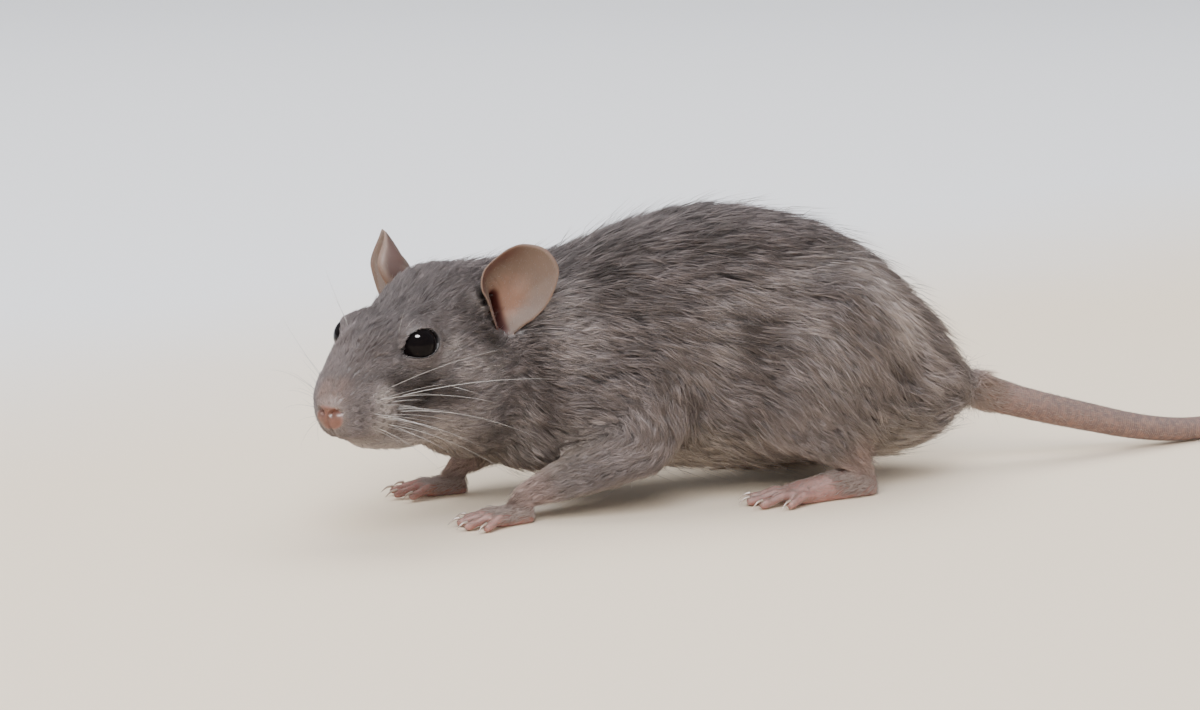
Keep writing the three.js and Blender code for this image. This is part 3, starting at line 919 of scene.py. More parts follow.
    @staticmethod
    def muzzle_cuts(local: np.ndarray) -> np.ndarray:
        """How deep the muzzle is cut at points of the head's frame. Raised places are negative."""
        sink = np.zeros(len(local))
        near = local[:, 0] < 16
        here = local[near]
        here[:, 1] = np.abs(here[:, 1])
        lips = [[1.7, 0, -4.9], [3.6, 1.6, -6.2], [6.2, 3.4, -7.4], [9.5, 5.2, -8.0], [13, 6.4, -7.9]]
        mouth = curve_through(np.array(lips), 24)
        gap, along = off_line(here, mouth)
        cut = 0.75 * np.exp(-((gap / 0.45) ** 2)) * ease(-along, -14, -8)
        comma = [[0.3, 1.1, 0.7], [0.8, 1.9, 1.0], [1.7, 2.6, 0.6], [2.8, 3.0, -0.3]]
        nostril = curve_through(np.array(comma), 12)
        gap, along = off_line(here, nostril)
        cut += 1.1 * np.exp(-((gap / np.maximum(0.6 - 0.1 * along, 0.2)) ** 2))
        wing = np.linalg.norm(here - [1.2, 2.3, -0.6], axis=1)
        cut -= 0.3 * np.exp(-((wing / 0.8) ** 2))
        cleft = [[0.1, 0, 1.2], [0.2, 0, -0.6], [0.8, 0, -2.6], [1.7, 0, -4.9]]
        groove, _ = off_line(here, np.array(cleft))
        cut += 0.45 * np.exp(-((groove / 0.3) ** 2))
        sink[near] = cut
        return sink

    def foot(self, limb: str) -> bpy.types.Object:
        """A finer copy of one foot."""
        foot = copy_node(foot_node(limb))
        finish_with(foot, "REMESH", mode="VOXEL", voxel_size=self.foot_voxel * MM)
        points = Web(foot).blur(read(foot), 5)
        points[:, 2] = np.maximum(points[:, 2], 0.0)
        write(foot, points)
        return foot

    def tail(self) -> bpy.types.Object:
        """The tail, from inside the rump to its blunt tip."""
        path = curve_through(TAIL_LINE, 150)
        share = np.clip(np.linspace(-1, 10, 150) / 10, 0, 1)
        radii = 0.9 + 2.8 * (1 - share) ** 0.8
        radii[-3:] *= [0.9, 0.7, 0.35]
        tail = tube("work_tail", path, radii, 20)
        points = read(tail)
        points[:, 2] = np.maximum(points[:, 2], 0.02)
        write(tail, points)
        return tail

    @staticmethod
    def unite(body: bpy.types.Object, part: bpy.types.Object) -> None:
        """Joins a closed part to the body and removes what lies inside."""
        finish_with(body, "BOOLEAN", operation="UNION", solver="MANIFOLD", object=part)
        bpy.data.objects.remove(part)

    def blend(self, body: bpy.types.Object) -> None:
        """Rounds the creases where feet, tail and ears meet the body."""
        points = read(body)
        share = np.zeros(len(points))
        spots = [(limb_point(limb, 2), 6.0) for limb in LIMB_LINES]
        spots.append((TAIL_LINE[1], 7.5))
        for place, reach in spots:
            gap = np.linalg.norm(points - place, axis=1)
            share = np.maximum(share, 0.6 * ease(-gap, -reach, -reach + 2.4))
        points = Web(body).blur(points, 24, share)
        points[:, 2] = np.maximum(points[:, 2], 0.0)
        write(body, points)

    def unwrap(self) -> None:
        """Unwraps the skin for its own colours and for the roots of the coat."""
        alone(self.piece)
        finish_with(self.piece, "TRIANGULATE")
        while self.piece.data.uv_layers:
            self.piece.data.uv_layers.remove(self.piece.data.uv_layers[0])
        self.piece.data.uv_layers.new(name=UV_MAP)
        bpy.ops.object.mode_set(mode="EDIT")
        bpy.ops.mesh.select_all(action="SELECT")
        bpy.ops.uv.smart_project(angle_limit=math.radians(66), island_margin=0.002)
        bpy.ops.object.mode_set(mode="OBJECT")

    def mark(self, trees: tuple[BVHTree, list[str]]) -> None:
        """Works out the fields of every vertex, and writes those that the finish reads."""
        points = read(self.piece)
        self.labels = [self.owner(trees, p) for p in points]
        self.sunk = self.muzzle_cuts(HEAD.local(points))
        self.fields = SkinFields.of(self, points)
        mesh = self.piece.data
        for name in ("bare", "ear", "lid", "ring", "pad", "canal", "cup", "sunk"):
            layer = mesh.attributes.new(name, "FLOAT", "POINT")
            layer.data.foreach_set("value", getattr(self.fields, name).astype(np.float32))
        self.tree = self.search_tree(self.piece)


@dataclass
class SkinFields:
    """Values for each vertex of the skin."""

    flow: np.ndarray
    length: np.ndarray
    rise: np.ndarray
    width: np.ndarray
    density: np.ndarray
    bare: np.ndarray
    ear: np.ndarray
    lid: np.ndarray
    ring: np.ndarray
    pad: np.ndarray
    canal: np.ndarray
    cup: np.ndarray
    sunk: np.ndarray

    @staticmethod
    def of(skin: Skin, points: np.ndarray) -> "SkinFields":
        """Works out every field from the vertices' places and the nodes they belong to."""
        web = Web(skin.piece)
        families = np.array([family(label) for label in skin.labels])
        facing = normals(skin.piece)
        head = HEAD.local(points)
        rules = {name: astuple(rule)[:4] for name, rule in RULES.items()}
        table = web.blur(np.array([rules[name] for name in families]), 24)
        flow = web.blur(SkinFields.lie(points, facing, skin.labels, families, head), 30)
        flow = unit(flow - facing * (flow * facing).sum(1, keepdims=True))
        muzzle = ease(-head[:, 0], -17, -4) * ease(-np.abs(head[:, 2]), -14, -10)
        lid = SkinFields.off_lids(skin, points)
        table *= 1 + muzzle[:, None] * MUZZLE_HAIR
        table *= 1 + ease(-lid, -3.5, -0.4)[:, None] * LID_HAIR
        ear, canal, cup, by_ear = SkinFields.round_ears(skin, points)
        _, ring = off_line(points, TAIL_LINE)
        pad_gap = np.linalg.norm((head - [0.7, 0, -0.3]) / [2.1, 3.0, 2.35], axis=1)
        pad = ease(-pad_gap, -1.25, -0.8)
        foot = np.isin(families, ["fore_foot", "hind_foot"]).astype(float)
        tail = np.char.startswith(families.astype(str), "tail").astype(float)
        joint = foot * SkinFields.over_joints(points)
        bare = np.maximum.reduce([web.blur(np.maximum(foot, tail), 3), 0.9 * ear, pad])
        bare *= 1 - 0.6 * joint
        table += joint[:, None] * (JOINT_HAIR - table)
        table += (ease(-ring, -22, -7) * tail)[:, None] * (DOCK_HAIR - table)
        table[:, :2] *= 1 - 0.2 * by_ear[:, None] * (head[:, 0:1] < 44)
        table[ear > 0.5] = EAR_HAIR
        table[:, 3] *= ease(lid, 0.12, 0.3) * (1 - ease(pad, 0.3, 0.8))
        table[:, 3] *= ease(points[:, 2], 0.6, 1.6) * (1 - ease(canal, 0.1, 0.5))
        return SkinFields(flow, *table.T, bare, ear, lid, ring, pad, canal, cup, skin.sunk)

    @staticmethod
    def off_lids(skin: Skin, points: np.ndarray) -> np.ndarray:
        """How far each vertex lies outside the nearer eye's opening, up to nine millimetres."""
        lid = np.full(len(points), 9.0)
        for socket in skin.sockets:
            local = socket.local(points)
            close = (np.linalg.norm(local, axis=1) < 8) & (local[:, 2] > -2)
            lid[close] = np.minimum(lid[close], socket.gap(local[close]))
        return lid

    @staticmethod
    def round_ears(skin: Skin, points: np.ndarray) -> tuple[np.ndarray, ...]:
        """What lies on an ear, where the painted shade of its canal and inner rim falls, how far out it
        lies, and what is near.
        """
        ear, canal, cup, by_ear = (np.zeros(len(points)) for _ in range(4))
        for one, tree in zip(skin.ears, skin.ear_trees):
            local = (points - one.root()) @ one.axes().T
            close = np.flatnonzero(np.linalg.norm(local, axis=1) < 20)
            gaps = np.array([tree.find_nearest(Vector(points[i]))[3] for i in close])
            on = close[gaps < 0.03]
            ear[on] = 1.0
            cup[on] = np.clip(one.share_of(local[on])[0], 0, 1.2)
            by_ear[close] = np.maximum(by_ear[close], ease(-gaps, -3.5, -0.4))
            slit = one.slit(local[:, 0], local[:, 1])
            # Painted shade in the canal's slit.
            canal = np.maximum(canal, ease(-slit, -2.0, -0.7) * ease(-local[:, 2], -2.6, -0.8))
            # Painted shade inside the cup along its front and top rim, where the rim curls over.
            deep = np.zeros(len(points))
            deep[on] = ease(-local[on, 0], -5.0, 0.5) * ease(cup[on], 0.6, 0.86)
            canal = np.maximum(canal, 0.62 * deep * ease(-cup, -0.99, -0.95) * (local[:, 2] > 0.5))
        return ear, canal, cup, by_ear

    @staticmethod
    def over_joints(points: np.ndarray) -> np.ndarray:
        """How much of the legs' fur reaches over each vertex of the wrists and hocks."""
        joint = np.zeros(len(points))
        for limb in LIMB_LINES:
            gap = np.linalg.norm(points - limb_point(limb, 2) + np.array([0, 0, 1.0]), axis=1)
            joint = np.maximum(joint, ease(-gap, -9.0, -3.6) * ease(points[:, 2], 0.4, 2.4))
        return joint

    @staticmethod
    def lie(
        points: np.ndarray,
        facing: np.ndarray,
        labels: list[str],
        families: np.ndarray,
        head: np.ndarray,
    ) -> np.ndarray:
        """The way the hair lies at each vertex, before it is smoothed."""
        back, left, up = HEAD.axes()
        flow = np.tile([1.0, 0.0, 0.0], (len(points), 1))
        side_on = np.abs(facing[:, 1])
        flow[:, 2] = -0.42 * side_on
        on_head = np.isin(families, ["nose", "head", "lower_jaw", "eye", "ear"])
        spread = np.clip(head[:, 1] / 10, -1, 1)[:, None]
        flow[on_head] = (back + spread * (0.22 * left - 0.16 * up))[on_head]
        flow[families == "neck"] = unit(np.array([0.9, 0.25, -0.12]))
        ways = {"upper_arm": (0, 1), "forearm": (1, 2), "thigh": (0, 1), "shank": (1, 2)}
        for name, (first, second) in ways.items():
            for side in Side:
                limb = ("fore" if "arm" in name else "hind") + f"_{side.word}"
                way = unit(limb_point(limb, second) - limb_point(limb, first))
                if name == "upper_arm":
                    way = unit(way + np.array([0.55, 0, 0]))
                if name == "thigh":
                    way = np.array([0.62, 0, -0.75])
                flow[np.array(labels) == f"{name}_{side.word}"] = way
        for limb in LIMB_LINES:
            turn = math.radians(FOOT_TURN[limb]) * (1 if limb.endswith("left") else -1)
            flow[np.array(labels) == foot_node(limb)] = [-math.cos(turn), -math.sin(turn), -0.2]
        ear = families == "ear"
        flow[ear] = unit(up + 0.35 * back)
        tail = np.char.startswith(families.astype(str), "tail")
        steps = np.diff(TAIL_LINE, axis=0)
        middles = (TAIL_LINE[1:] + TAIL_LINE[:-1]) / 2
        nearest = np.linalg.norm(points[tail][:, None] - middles[None], axis=2).argmin(1)
        flow[tail] = unit(steps)[nearest]
        return flow


# ---------------------------------------------------------------- coat


@dataclass
class Coat:
    """All tufts. Each is a closed spindle of six faces that leaves the skin and lies down."""

    skin: Skin
    seed: int = 20
    clump: int = 15
    guards: float = 0.055
    widest: float = 0.42
    patch: float = 0.003

    def build(self) -> list[bpy.types.Object]:
        """Grows the tufts, and returns them as one piece for each region and side."""
        rng = np.random.default_rng(self.seed)
        mesh = self.skin.piece.data
        tris = np.empty(len(mesh.polygons) * 3, np.int32)
        mesh.polygons.foreach_get("vertices", tris)
        tris = tris.reshape(-1, 3)
        uv = np.empty(len(mesh.loops) * 2)
        mesh.uv_layers[UV_MAP].data.foreach_get("uv", uv)
        uv = uv.reshape(-1, 3, 2)
        points, facing, fields = read(self.skin.piece), normals(self.skin.piece), self.skin.fields
        edges = points[tris][:, 1:] - points[tris][:, :1]
        area = np.linalg.norm(np.cross(edges[:, 0], edges[:, 1]), axis=1) / 2
        weight = area * fields.density[tris].mean(1)
        total = int(weight.sum())
        stops = np.cumsum(weight)
        picks = (np.arange(total) + rng.random(total)) * (stops[-1] / total)
        face = np.minimum(np.searchsorted(stops, picks), len(tris) - 1)
        bary = rng.dirichlet([1, 1, 1], total)

        def at(values: np.ndarray) -> np.ndarray:
            """A field's values at the roots."""
            picked = values[tris[face]]
            shares = bary.reshape(bary.shape + (1,) * (picked.ndim - 2))
            return (picked * shares).sum(1)

        root, up = at(points), unit(at(facing))
        flow = at(fields.flow)
        flow = unit(flow - up * (flow * up).sum(1, keepdims=True))
        length = at(fields.length) * rng.uniform(0.75, 1.2, total)
        rise = at(fields.rise) * rng.uniform(0.35, 1.25, total)
        width = at(fields.width) * rng.uniform(0.7, 1.3, total)
        root_uv = (uv[face] * bary[:, :, None]).sum(1)
        group = self.groups(root, rng)
        count = group.max() + 1
        rise *= rng.uniform(0.6, 1.5, count)[group]
        turn = rng.normal(0, 0.2, count)[group] + rng.normal(0, 0.1, total)
        side = np.cross(flow, up)
        flow = flow * np.cos(turn)[:, None] + side * np.sin(turn)[:, None]
        guard = (rng.random(total) < self.guards) & (length > 4.5)
        length[guard] *= 1.45
        rise[guard] *= 2.1
        width[guard] *= 0.5
        tone = np.clip(0.5 + 0.23 * rng.normal(size=count)[group] + 0.16 * rng.normal(size=total), 0, 1)
        force = 0.45 + 0.55 * ease(length, 2.5, 7.0)
        tone = 0.5 + (tone - 0.5) * force
        shape = self.spindles(root, up, flow, length, rise, width, group, rng)
        clear = self.clear_of_ears(shape)
        bald = at(fields.bare)
        kinds = np.array([family(label) for label in self.skin.labels])
        owner = kinds[tris[face][np.arange(total), bary.argmax(1)]]
        head = HEAD.local(root)
        owner[(owner == "head") & (head[:, 0] < 19)] = "nose"
        pieces = []
        for region in Region:
            on_head = region in (Region.FACE, Region.HEAD)
            across = -head[:, 1] if on_head else root[:, 1] - MIDDLE[1]
            for part in Side:
                chosen = np.isin(owner, region.value) & ((across < 0) == (part is Side.LEFT)) & clear
                if chosen.any():
                    name = f"coat_{region.name.lower()}_{part.word}"
                    values = {"tone": tone[chosen], "bald": bald[chosen], "force": force[chosen]}
                    pieces.append(self.piece(name, shape[chosen], values, root_uv[chosen]))
        return pieces

    def clear_of_ears(self, shape: np.ndarray) -> np.ndarray:
        """Which tufts pass through no ear on their way from ridge to tip."""
        clear = np.ones(len(shape), bool)
        for ear, tree in zip(self.skin.ears, self.skin.ear_trees):
            near = np.linalg.norm(shape[:, 4] - ear.root(), axis=1) < 22
            for i in np.flatnonzero(near):
                start, stop = Vector(shape[i, 3]), Vector(shape[i, 4])
                way = stop - start
                clear[i] &= tree.ray_cast(start, way.normalized(), way.length)[0] is None
        return clear

    def groups(self, root: np.ndarray, rng: np.random.Generator) -> np.ndarray:
        """Which lock each tuft belongs to: that of the nearest of some chosen roots."""
        chosen = rng.choice(len(root), len(root) // self.clump, replace=False)
        finder = KDTree(len(chosen))
        for i, k in enumerate(chosen):
            finder.insert(root[k], i)
        finder.balance()
        return np.array([finder.find(p)[1] for p in root])

    def spindles(
        self,
        root: np.ndarray,
        up: np.ndarray,
        flow: np.ndarray,
        length: np.ndarray,
        rise: np.ndarray,
        width: np.ndarray,
        group: np.ndarray,
        rng: np.random.Generator,
    ) -> np.ndarray:
        """Five points for each tuft: root, two sides and ridge of its belly, and tip."""
        far = root + flow * length[:, None]
        count = group.max() + 1
        mean = np.stack([np.bincount(group, far[:, k], count) for k in range(3)], 1)
        mean /= np.bincount(group, minlength=count)[:, None]
        draw = (rng.uniform(0.2, 0.75, len(root)) * ease(length, 1.5, 8.0))[:, None]
        gather = mean[group] - far
        reach = np.linalg.norm(gather, axis=1)
        gather *= (np.minimum(reach, 0.35 * length) / np.maximum(reach, 1e-6))[:, None]
        far = far + gather * draw
        middle = root + (far - root) * self.widest
        middle_on, middle_up = self.onto_skin(middle)
        far_on, far_up = self.onto_skin(far)
        belly = middle_on + middle_up * (rise * 0.62)[:, None]
        tip = far_on + far_up * rise[:, None]
        across = unit(np.cross(tip - root, middle_up)) * (width / 2)[:, None]
        ridge = belly + middle_up * (width * 0.45)[:, None]
        low = belly - middle_up * (width * 0.12)[:, None]
        base = root - up * 0.12
        shape = np.stack([base, low + across, low - across, ridge, tip], axis=1)
        shape[:, :, 2] = np.maximum(shape[:, :, 2], 0.03)
        return shape

    def onto_skin(self, points: np.ndarray) -> tuple[np.ndarray, np.ndarray]:
        """The nearest points of the skin, and which way the skin faces there."""
        found = [self.skin.tree.find_nearest(p) for p in points.tolist()]
        return np.array([f[0] for f in found]), np.array([f[1] for f in found])

    def piece(
        self, name: str, shape: np.ndarray, values: dict[str, np.ndarray], root_uv: np.ndarray
    ) -> bpy.types.Object:
        """One mesh of tufts, with its own values, its root-to-tip values and its map."""
        count = len(shape)
        plan = np.array([[0, 2, 1], [0, 1, 3], [0, 3, 2], [4, 1, 2], [4, 3, 1], [4, 2, 3]])
        faces = (plan[None] + 5 * np.arange(count)[:, None, None]).reshape(-1, 3)
        mesh = bpy.data.meshes.new(name)
        mesh.vertices.add(count * 5)
        mesh.vertices.foreach_set("co", (shape * MM).ravel())
        mesh.loops.add(len(faces) * 3)
        mesh.loops.foreach_set("vertex_index", faces.ravel())
        mesh.polygons.add(len(faces))
        mesh.polygons.foreach_set("loop_start", np.arange(len(faces)) * 3)
        mesh.polygons.foreach_set("use_smooth", np.ones(len(faces), bool))
        mesh.update(calc_edges=True)
        patch = np.array([[0.5, 0], [0, self.widest], [1, self.widest], [0.5, 0.5], [0.5, 1]]) - 0.5
        layer = mesh.uv_layers.new(name=UV_MAP)
        spots = root_uv[:, None] + self.patch * patch[None]
        layer.data.foreach_set("uv", spots.reshape(-1, 2)[faces.ravel()].ravel())
        spread = {label: np.repeat(value, 5) for label, value in values.items()}
        spread["along"] = np.tile([0, self.widest, self.widest, 0.45, 1], count)
        for label, value in spread.items():
            made = mesh.attributes.new(label, "FLOAT", "POINT")
            made.data.foreach_set("value", value.astype(np.float32))
        return placed(name, mesh)


# ---------------------------------------------------------------- eyes, claws, whiskers


@dataclass(frozen=True)
class Eye:
    """A glossy ball with the dark bead of the third eyelid in its front corner."""

    socket: EyeSocket

    def build(self) -> bpy.types.Object:
        """The ball and its bead, as one piece."""
        parts = []
        slit, up, out = self.socket.axes()
        for offset, radius, squash in (
            (np.zeros(3), self.socket.radius, None),
            (slit * -3.3 - up * 0.75 + out * 0.6, 1.0, (1.1, 0.5, 0.6)),
        ):
            alone()
            bpy.ops.mesh.primitive_uv_sphere_add(segments=64, ring_count=32, radius=radius * MM)
            ball = bpy.context.object
            points = read(ball)
            if squash is None:
                front = points @ out
                points += out * (0.15 * ease(front, 1.2, 3.2))[:, None]
            else:
                points = points * np.array(squash) @ self.socket.axes()
            write(ball, points + self.socket.centre() + offset)
            parts.append(ball)
        return smooth_shaded(joined(parts, f"eye_ball_{self.socket.side.word}"))


@dataclass(frozen=True)
class Claws:
    """The claws of one foot, each a curved horn cone where its CAD node is."""

    limb: str
    count: int

    def nodes(self) -> list[str]:
        """The CAD nodes that these claws stand for."""
        return [f"{foot_node(self.limb)}_claw_{i + 1}" for i in range(self.count)]

    def build(self) -> bpy.types.Object:
        """All claws of the foot as one piece."""
        parts = []
        for name in self.nodes():
            low, high = (np.array(corner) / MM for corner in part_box(name))
            points = read(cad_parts[name])
            middle = points.mean(0)
            way = np.linalg.svd(points - middle)[2][0]
            way *= -math.copysign(1, way[0])
            spread = (points - middle) @ way
            start, stop = middle + way * (spread.min() - 1.0), middle + way * (spread.max() - 0.5)
            start[2] = min(start[2], high[2]) + 0.2
            bend = (start + stop) / 2 + np.array([0, 0, 0.3])
            stop[2] = max(stop[2] - 0.2, low[2] + 0.1, 0.12)
            path = curve_through(np.array([start, bend, stop]), 12)
            radii = 0.26 * (1 - np.linspace(0, 1, 12) ** 1.4) + 0.04
            parts.append(tube(name + "_horn", path, radii, 10))
        return smooth_shaded(joined(parts, f"claws_{self.limb}"))


LONG_WHISKERS = (  # root and way in the head's frame, length, droop and half thickness
    ((12.0, 8.0, 0.0), (0.62, 0.8, 0.08), 29, 4.0, 0.048),
    ((11.0, 8.0, -2.8), (0.62, 0.8, -0.1), 26, 8.0, 0.048),
    ((8.5, 7.0, -4.4), (0.6, 0.8, -0.34), 22, 8.0, 0.044),
    ((10.0, 7.0, 2.2), (0.5, 0.85, 0.35), 23, 3.0, 0.04),
    ((7.5, 6.4, 1.0), (0.42, 0.9, 0.12), 21, 5.0, 0.038),
    ((6.5, 6.0, -1.6), (0.36, 0.9, -0.12), 18, 5.0, 0.034),
    ((6.4, 5.6, -3.6), (0.35, 0.9, -0.45), 13, 4.0, 0.03),
)


@dataclass
class Whiskers:
    """Long tapering hairs of the muzzle, the brow and the cheek."""

    skin: Skin
    seed: int = 7

    def build(self) -> bpy.types.Object:
        """All whiskers as one piece."""
        rng = np.random.default_rng(self.seed)
        parts = []
        for side in Side:
            sign = np.array([1, -side.value, 1])
            for spot, way, length, droop, radius in LONG_WHISKERS:
                parts.append(self.hair(np.array(spot) * sign, way * sign, length, droop, radius, rng))
            for _ in range(16):
                spot = np.array([rng.uniform(4, 11), 6.5, rng.uniform(-5.0, 2.0)])
                way = np.array([rng.uniform(0.35, 0.8), 0.9, 0.1 + 0.12 * spot[2]]) + rng.normal(0, 0.08, 3)
                length = rng.uniform(5, 15)
                parts.append(self.hair(spot * sign, way * sign, length, 0.16 * length, 0.028, rng))
            long = 13.0 if side is Side.RIGHT else 7.0
            for spot, way, length in (
                ((17.0, 6.0, 11.0), (0.05, 0.35, 1.0), long),
                ((18.5, 6.8, 11.0), (0.3, 0.6, 0.9), long * 0.6),
                ((24.0, 11.0, -3.0), (0.4, 1.0, -0.3), 7.0),
            ):
                parts.append(self.hair(np.array(spot) * sign, way * sign, length, 1.0, 0.03, rng))
        return smooth_shaded(joined(parts, "whiskers"))

    def hair(
        self,
        spot: np.ndarray,
        way: np.ndarray,
        length: float,
        droop: float,
        radius: float,
        rng: np.random.Generator,
    ) -> bpy.types.Object:
        """One whisker.

        Args:
            spot: Where it grows, in the head's frame.
            way: The way it sets out, in the head's frame.
            length: How long it is.
            droop: How far its tip hangs below a straight line.
            radius: Its half thickness at the root.
            rng: Gives it a bend of its own.

        Returns:
            The whisker.
        """
        found, facing, _, _ = self.skin.tree.find_nearest(Vector(HEAD.world(spot)))
        start = np.array(found) - 0.3 * np.array(facing)
        step = unit(way) @ HEAD.axes()
        run = np.linspace(0, 1, 22)[:, None]
        sag = np.array([0.25 * droop, 0.0, -droop]) @ HEAD.axes() + rng.normal(0, 0.03 * length, 3)
        path = start + length * run * step + run**2.2 * sag
        radii = radius * (1 - run[:, 0]) ** 0.8 + 0.01
        return tube("whisker", path, radii, 6)


# ---------------------------------------------------------------- finishes


@dataclass(frozen=True)
class Markings:
    """The colours of the coat by place, shared by the tufts and by the skin under them, with painted light
    and shade among them.
    """

    grey: Paint = (0.245, 0.206, 0.2, 1)
    back: Paint = (0.168, 0.141, 0.138, 1)
    mauve: Paint = (0.33, 0.275, 0.272, 1)
    # The belly's own paler hair, warmed as painted bounce light from the floor.
    under: Paint = (0.38, 0.315, 0.262, 1)
    cuff: Paint = (0.42, 0.3, 0.27, 1)
    # Silver fur, also used for the painted highlights of the trunk.
    silver: Paint = (0.52, 0.455, 0.445, 1)
    pale: Paint = (0.56, 0.49, 0.46, 1)
    dark: Paint = (0.043, 0.029, 0.024, 1)
    brown: Paint = (0.12, 0.085, 0.074, 1)
    pink: Paint = (0.5, 0.33, 0.27, 1)
    on_head: tuple[Patch, ...] = (  # from, to, reach, share and colour
        ((30.0, 2.0, 13.0), (42.0, 5.0, 14.0), 11.0, 0.3, "back"),
        ((12.0, 7.2, 2.0), (18.0, 9.2, -1.6), 4.9, 0.95, "dark"),
        ((18.0, 9.2, -1.6), (27.0, 11.6, -6.0), 4.6, 0.65, "dark"),
        ((14.0, 3.0, 8.0), (5.0, 2.5, 4.0), 4.8, 0.45, "brown"),
        ((33.5, 8.6, 8.0), (37.0, 12.4, 0.0), 5.4, 0.9, "dark"),
        # Painted shade in the crease between neck and shoulder.
        ((46.7, 16.9, -2.3), (44.9, 18.0, -18.5), 6.0, 0.68, "dark"),
        ((24.0, 10.2, 3.0), (27.5, 11.0, 4.2), 2.8, 0.4, "pale"),
        ((29.0, 11.8, -1.0), (36.0, 13.0, -4.0), 6.0, 0.6, "silver"),
        ((24.0, 7.6, -10.2), (33.0, 10.7, -12.0), 7.0, 0.5, "silver"),
        ((8.6, 7.3, 1.0), (7.6, 6.6, -3.5), 4.0, 0.85, "pale"),
        ((1.5, 0.5, 2.2), (4.5, 1.5, 3.8), 3.6, 0.35, "pink"),
        ((37.0, 9.5, 9.0), (39.0, 10.5, 5.0), 2.6, 0.5, "pale"),
        ((9.0, 1.5, -11.0), (27.0, 4.0, -15.0), 9.0, 0.75, "pale"),
    )
    # Painted light and shade of the trunk: dark patches are painted shade in the coat's creases and
    # partings, silver ones are painted highlights on shoulder, flank and haunch.
    on_trunk: tuple[Patch, ...] = (
        ((-49.5, 11.4, 51.0), (-25.8, 12.0, 48.6), 5.5, 0.5, "dark"),
        ((-40.9, 18.3, 38.5), (-37.2, 19.3, 22.0), 8.0, 0.45, "dark"),
        ((-10.6, 17.0, 28.0), (-7.3, 16.4, 21.0), 5.0, 0.4, "dark"),
        ((-64.4, 8.1, 49.9), (-68.7, 11.9, 43.8), 7.0, 0.4, "dark"),
        ((-63.0, 17.5, 29.9), (-54.0, 18.5, 21.6), 6.0, 0.4, "dark"),
        ((-16.0, 12.0, 44.0), (-6.0, 16.0, 34.0), 11.0, 0.85, "silver"),
        ((8.0, 17.0, 32.0), (2.0, 17.0, 22.0), 7.0, 0.4, "silver"),
        ((-78.1, 10.6, 42.5), (-76.2, 14.1, 34.1), 9.0, 0.5, "silver"),
        ((-47.2, 16.7, 41.8), (-46.8, 18.6, 32.1), 5.5, 0.5, "silver"),
        ((-40.5, 17.1, 41.5), (-24.7, 13.9, 46.2), 6.0, 0.6, "silver"),
        ((-30.0, 19.0, 37.0), (-24.0, 19.0, 26.0), 8.0, 0.55, "silver"),
    )

    def colour(self, kit: ShaderKit, place: Sock) -> Sock:
        """Builds the nodes that colour a point.

        Args:
            kit: The material's kit.
            place: The point in millimetres.

        Returns:
            The colour.
        """
        back, left, up = (tuple(a) for a in HEAD.axes())
        out = kit.math("ABSOLUTE", kit.axis(place, HEAD.nose, left))
        above = kit.axis(place, HEAD.nose, up)
        parts_of_head = {0: kit.axis(place, HEAD.nose, back), 1: out, 2: above}
        head = kit.node("ShaderNodeCombineXYZ", inputs=parts_of_head)
        height = kit.axis(place, (0, 0, 0), (0, 0, 1))
        cloud = kit.noise(place, 0.07, 3, (0.7, 1, 1))
        streak = kit.noise(place, 0.22, 4, (0.45, 1, 1))
        colour = kit.mix(kit.step(height + cloud * 20, 34, 60), self.grey, self.back)
        beside = kit.math("ABSOLUTE", kit.axis(place, tuple(MIDDLE), (0, 1, 0)))
        # Low on the body the coat turns to the paler underside, its warmth painted bounce light from the
        # floor.
        low = kit.step(height + cloud * 12, 28, 14) * kit.step(beside, 22, 14)
        colour = kit.mix(low * 0.85, colour, self.under)
        colour = kit.mix(kit.step(cloud, 0.42, 0.62) * 0.35, colour, self.mauve)
        colour = kit.tinted(colour, 0.55 + streak * 0.9)
        parts = {0: kit.axis(place, (0, 0, 0), (1, 0, 0)), 1: beside, 2: height}
        trunk = kit.node("ShaderNodeCombineXYZ", inputs=parts)
        # Patches along lines; those of the trunk, and the neck's crease on the head, are painted light and
        # shade.
        for spot, patches in ((head, self.on_head), (trunk, self.on_trunk)):
            for start, stop, reach, share, paint in patches:
                gap = kit.from_line(spot, start, stop) + streak * 3.0 - 1.5
                near = kit.step(gap, reach, reach * 0.1)
                colour = kit.mix(near * share, colour, getattr(self, paint))
        column = kit.math("PINGPONG", parts_of_head[0] / 1.8, 0.5) * 1.8
        row = kit.math("PINGPONG", parts_of_head[2] / 1.5, 0.5) * 1.5
        speck = kit.step(column**2 + row**2, 0.22, 0.04)
        on_pad = kit.step(kit.from_line(head, (5.5, 6.0, -0.5), (11.0, 7.4, -3.0)), 4.2, 3.0)
        colour = kit.mix(speck * on_pad * 0.42, colour, self.dark)
        for limb in LIMB_LINES:
            spot = tuple(limb_point(limb, 2) + np.array([-1.0, 0, -1.0]))
            reach = 10.0 if limb.startswith("fore") else 9.0
            near = kit.step(kit.distance(place, spot), reach, reach * 0.35)
            colour = kit.mix(near * 0.8, colour, self.cuff)
        dock = kit.step(kit.distance(place, tuple(TAIL_LINE[2])), 9, 2)
        return kit.mix(dock * 0.75, colour, self.pink)


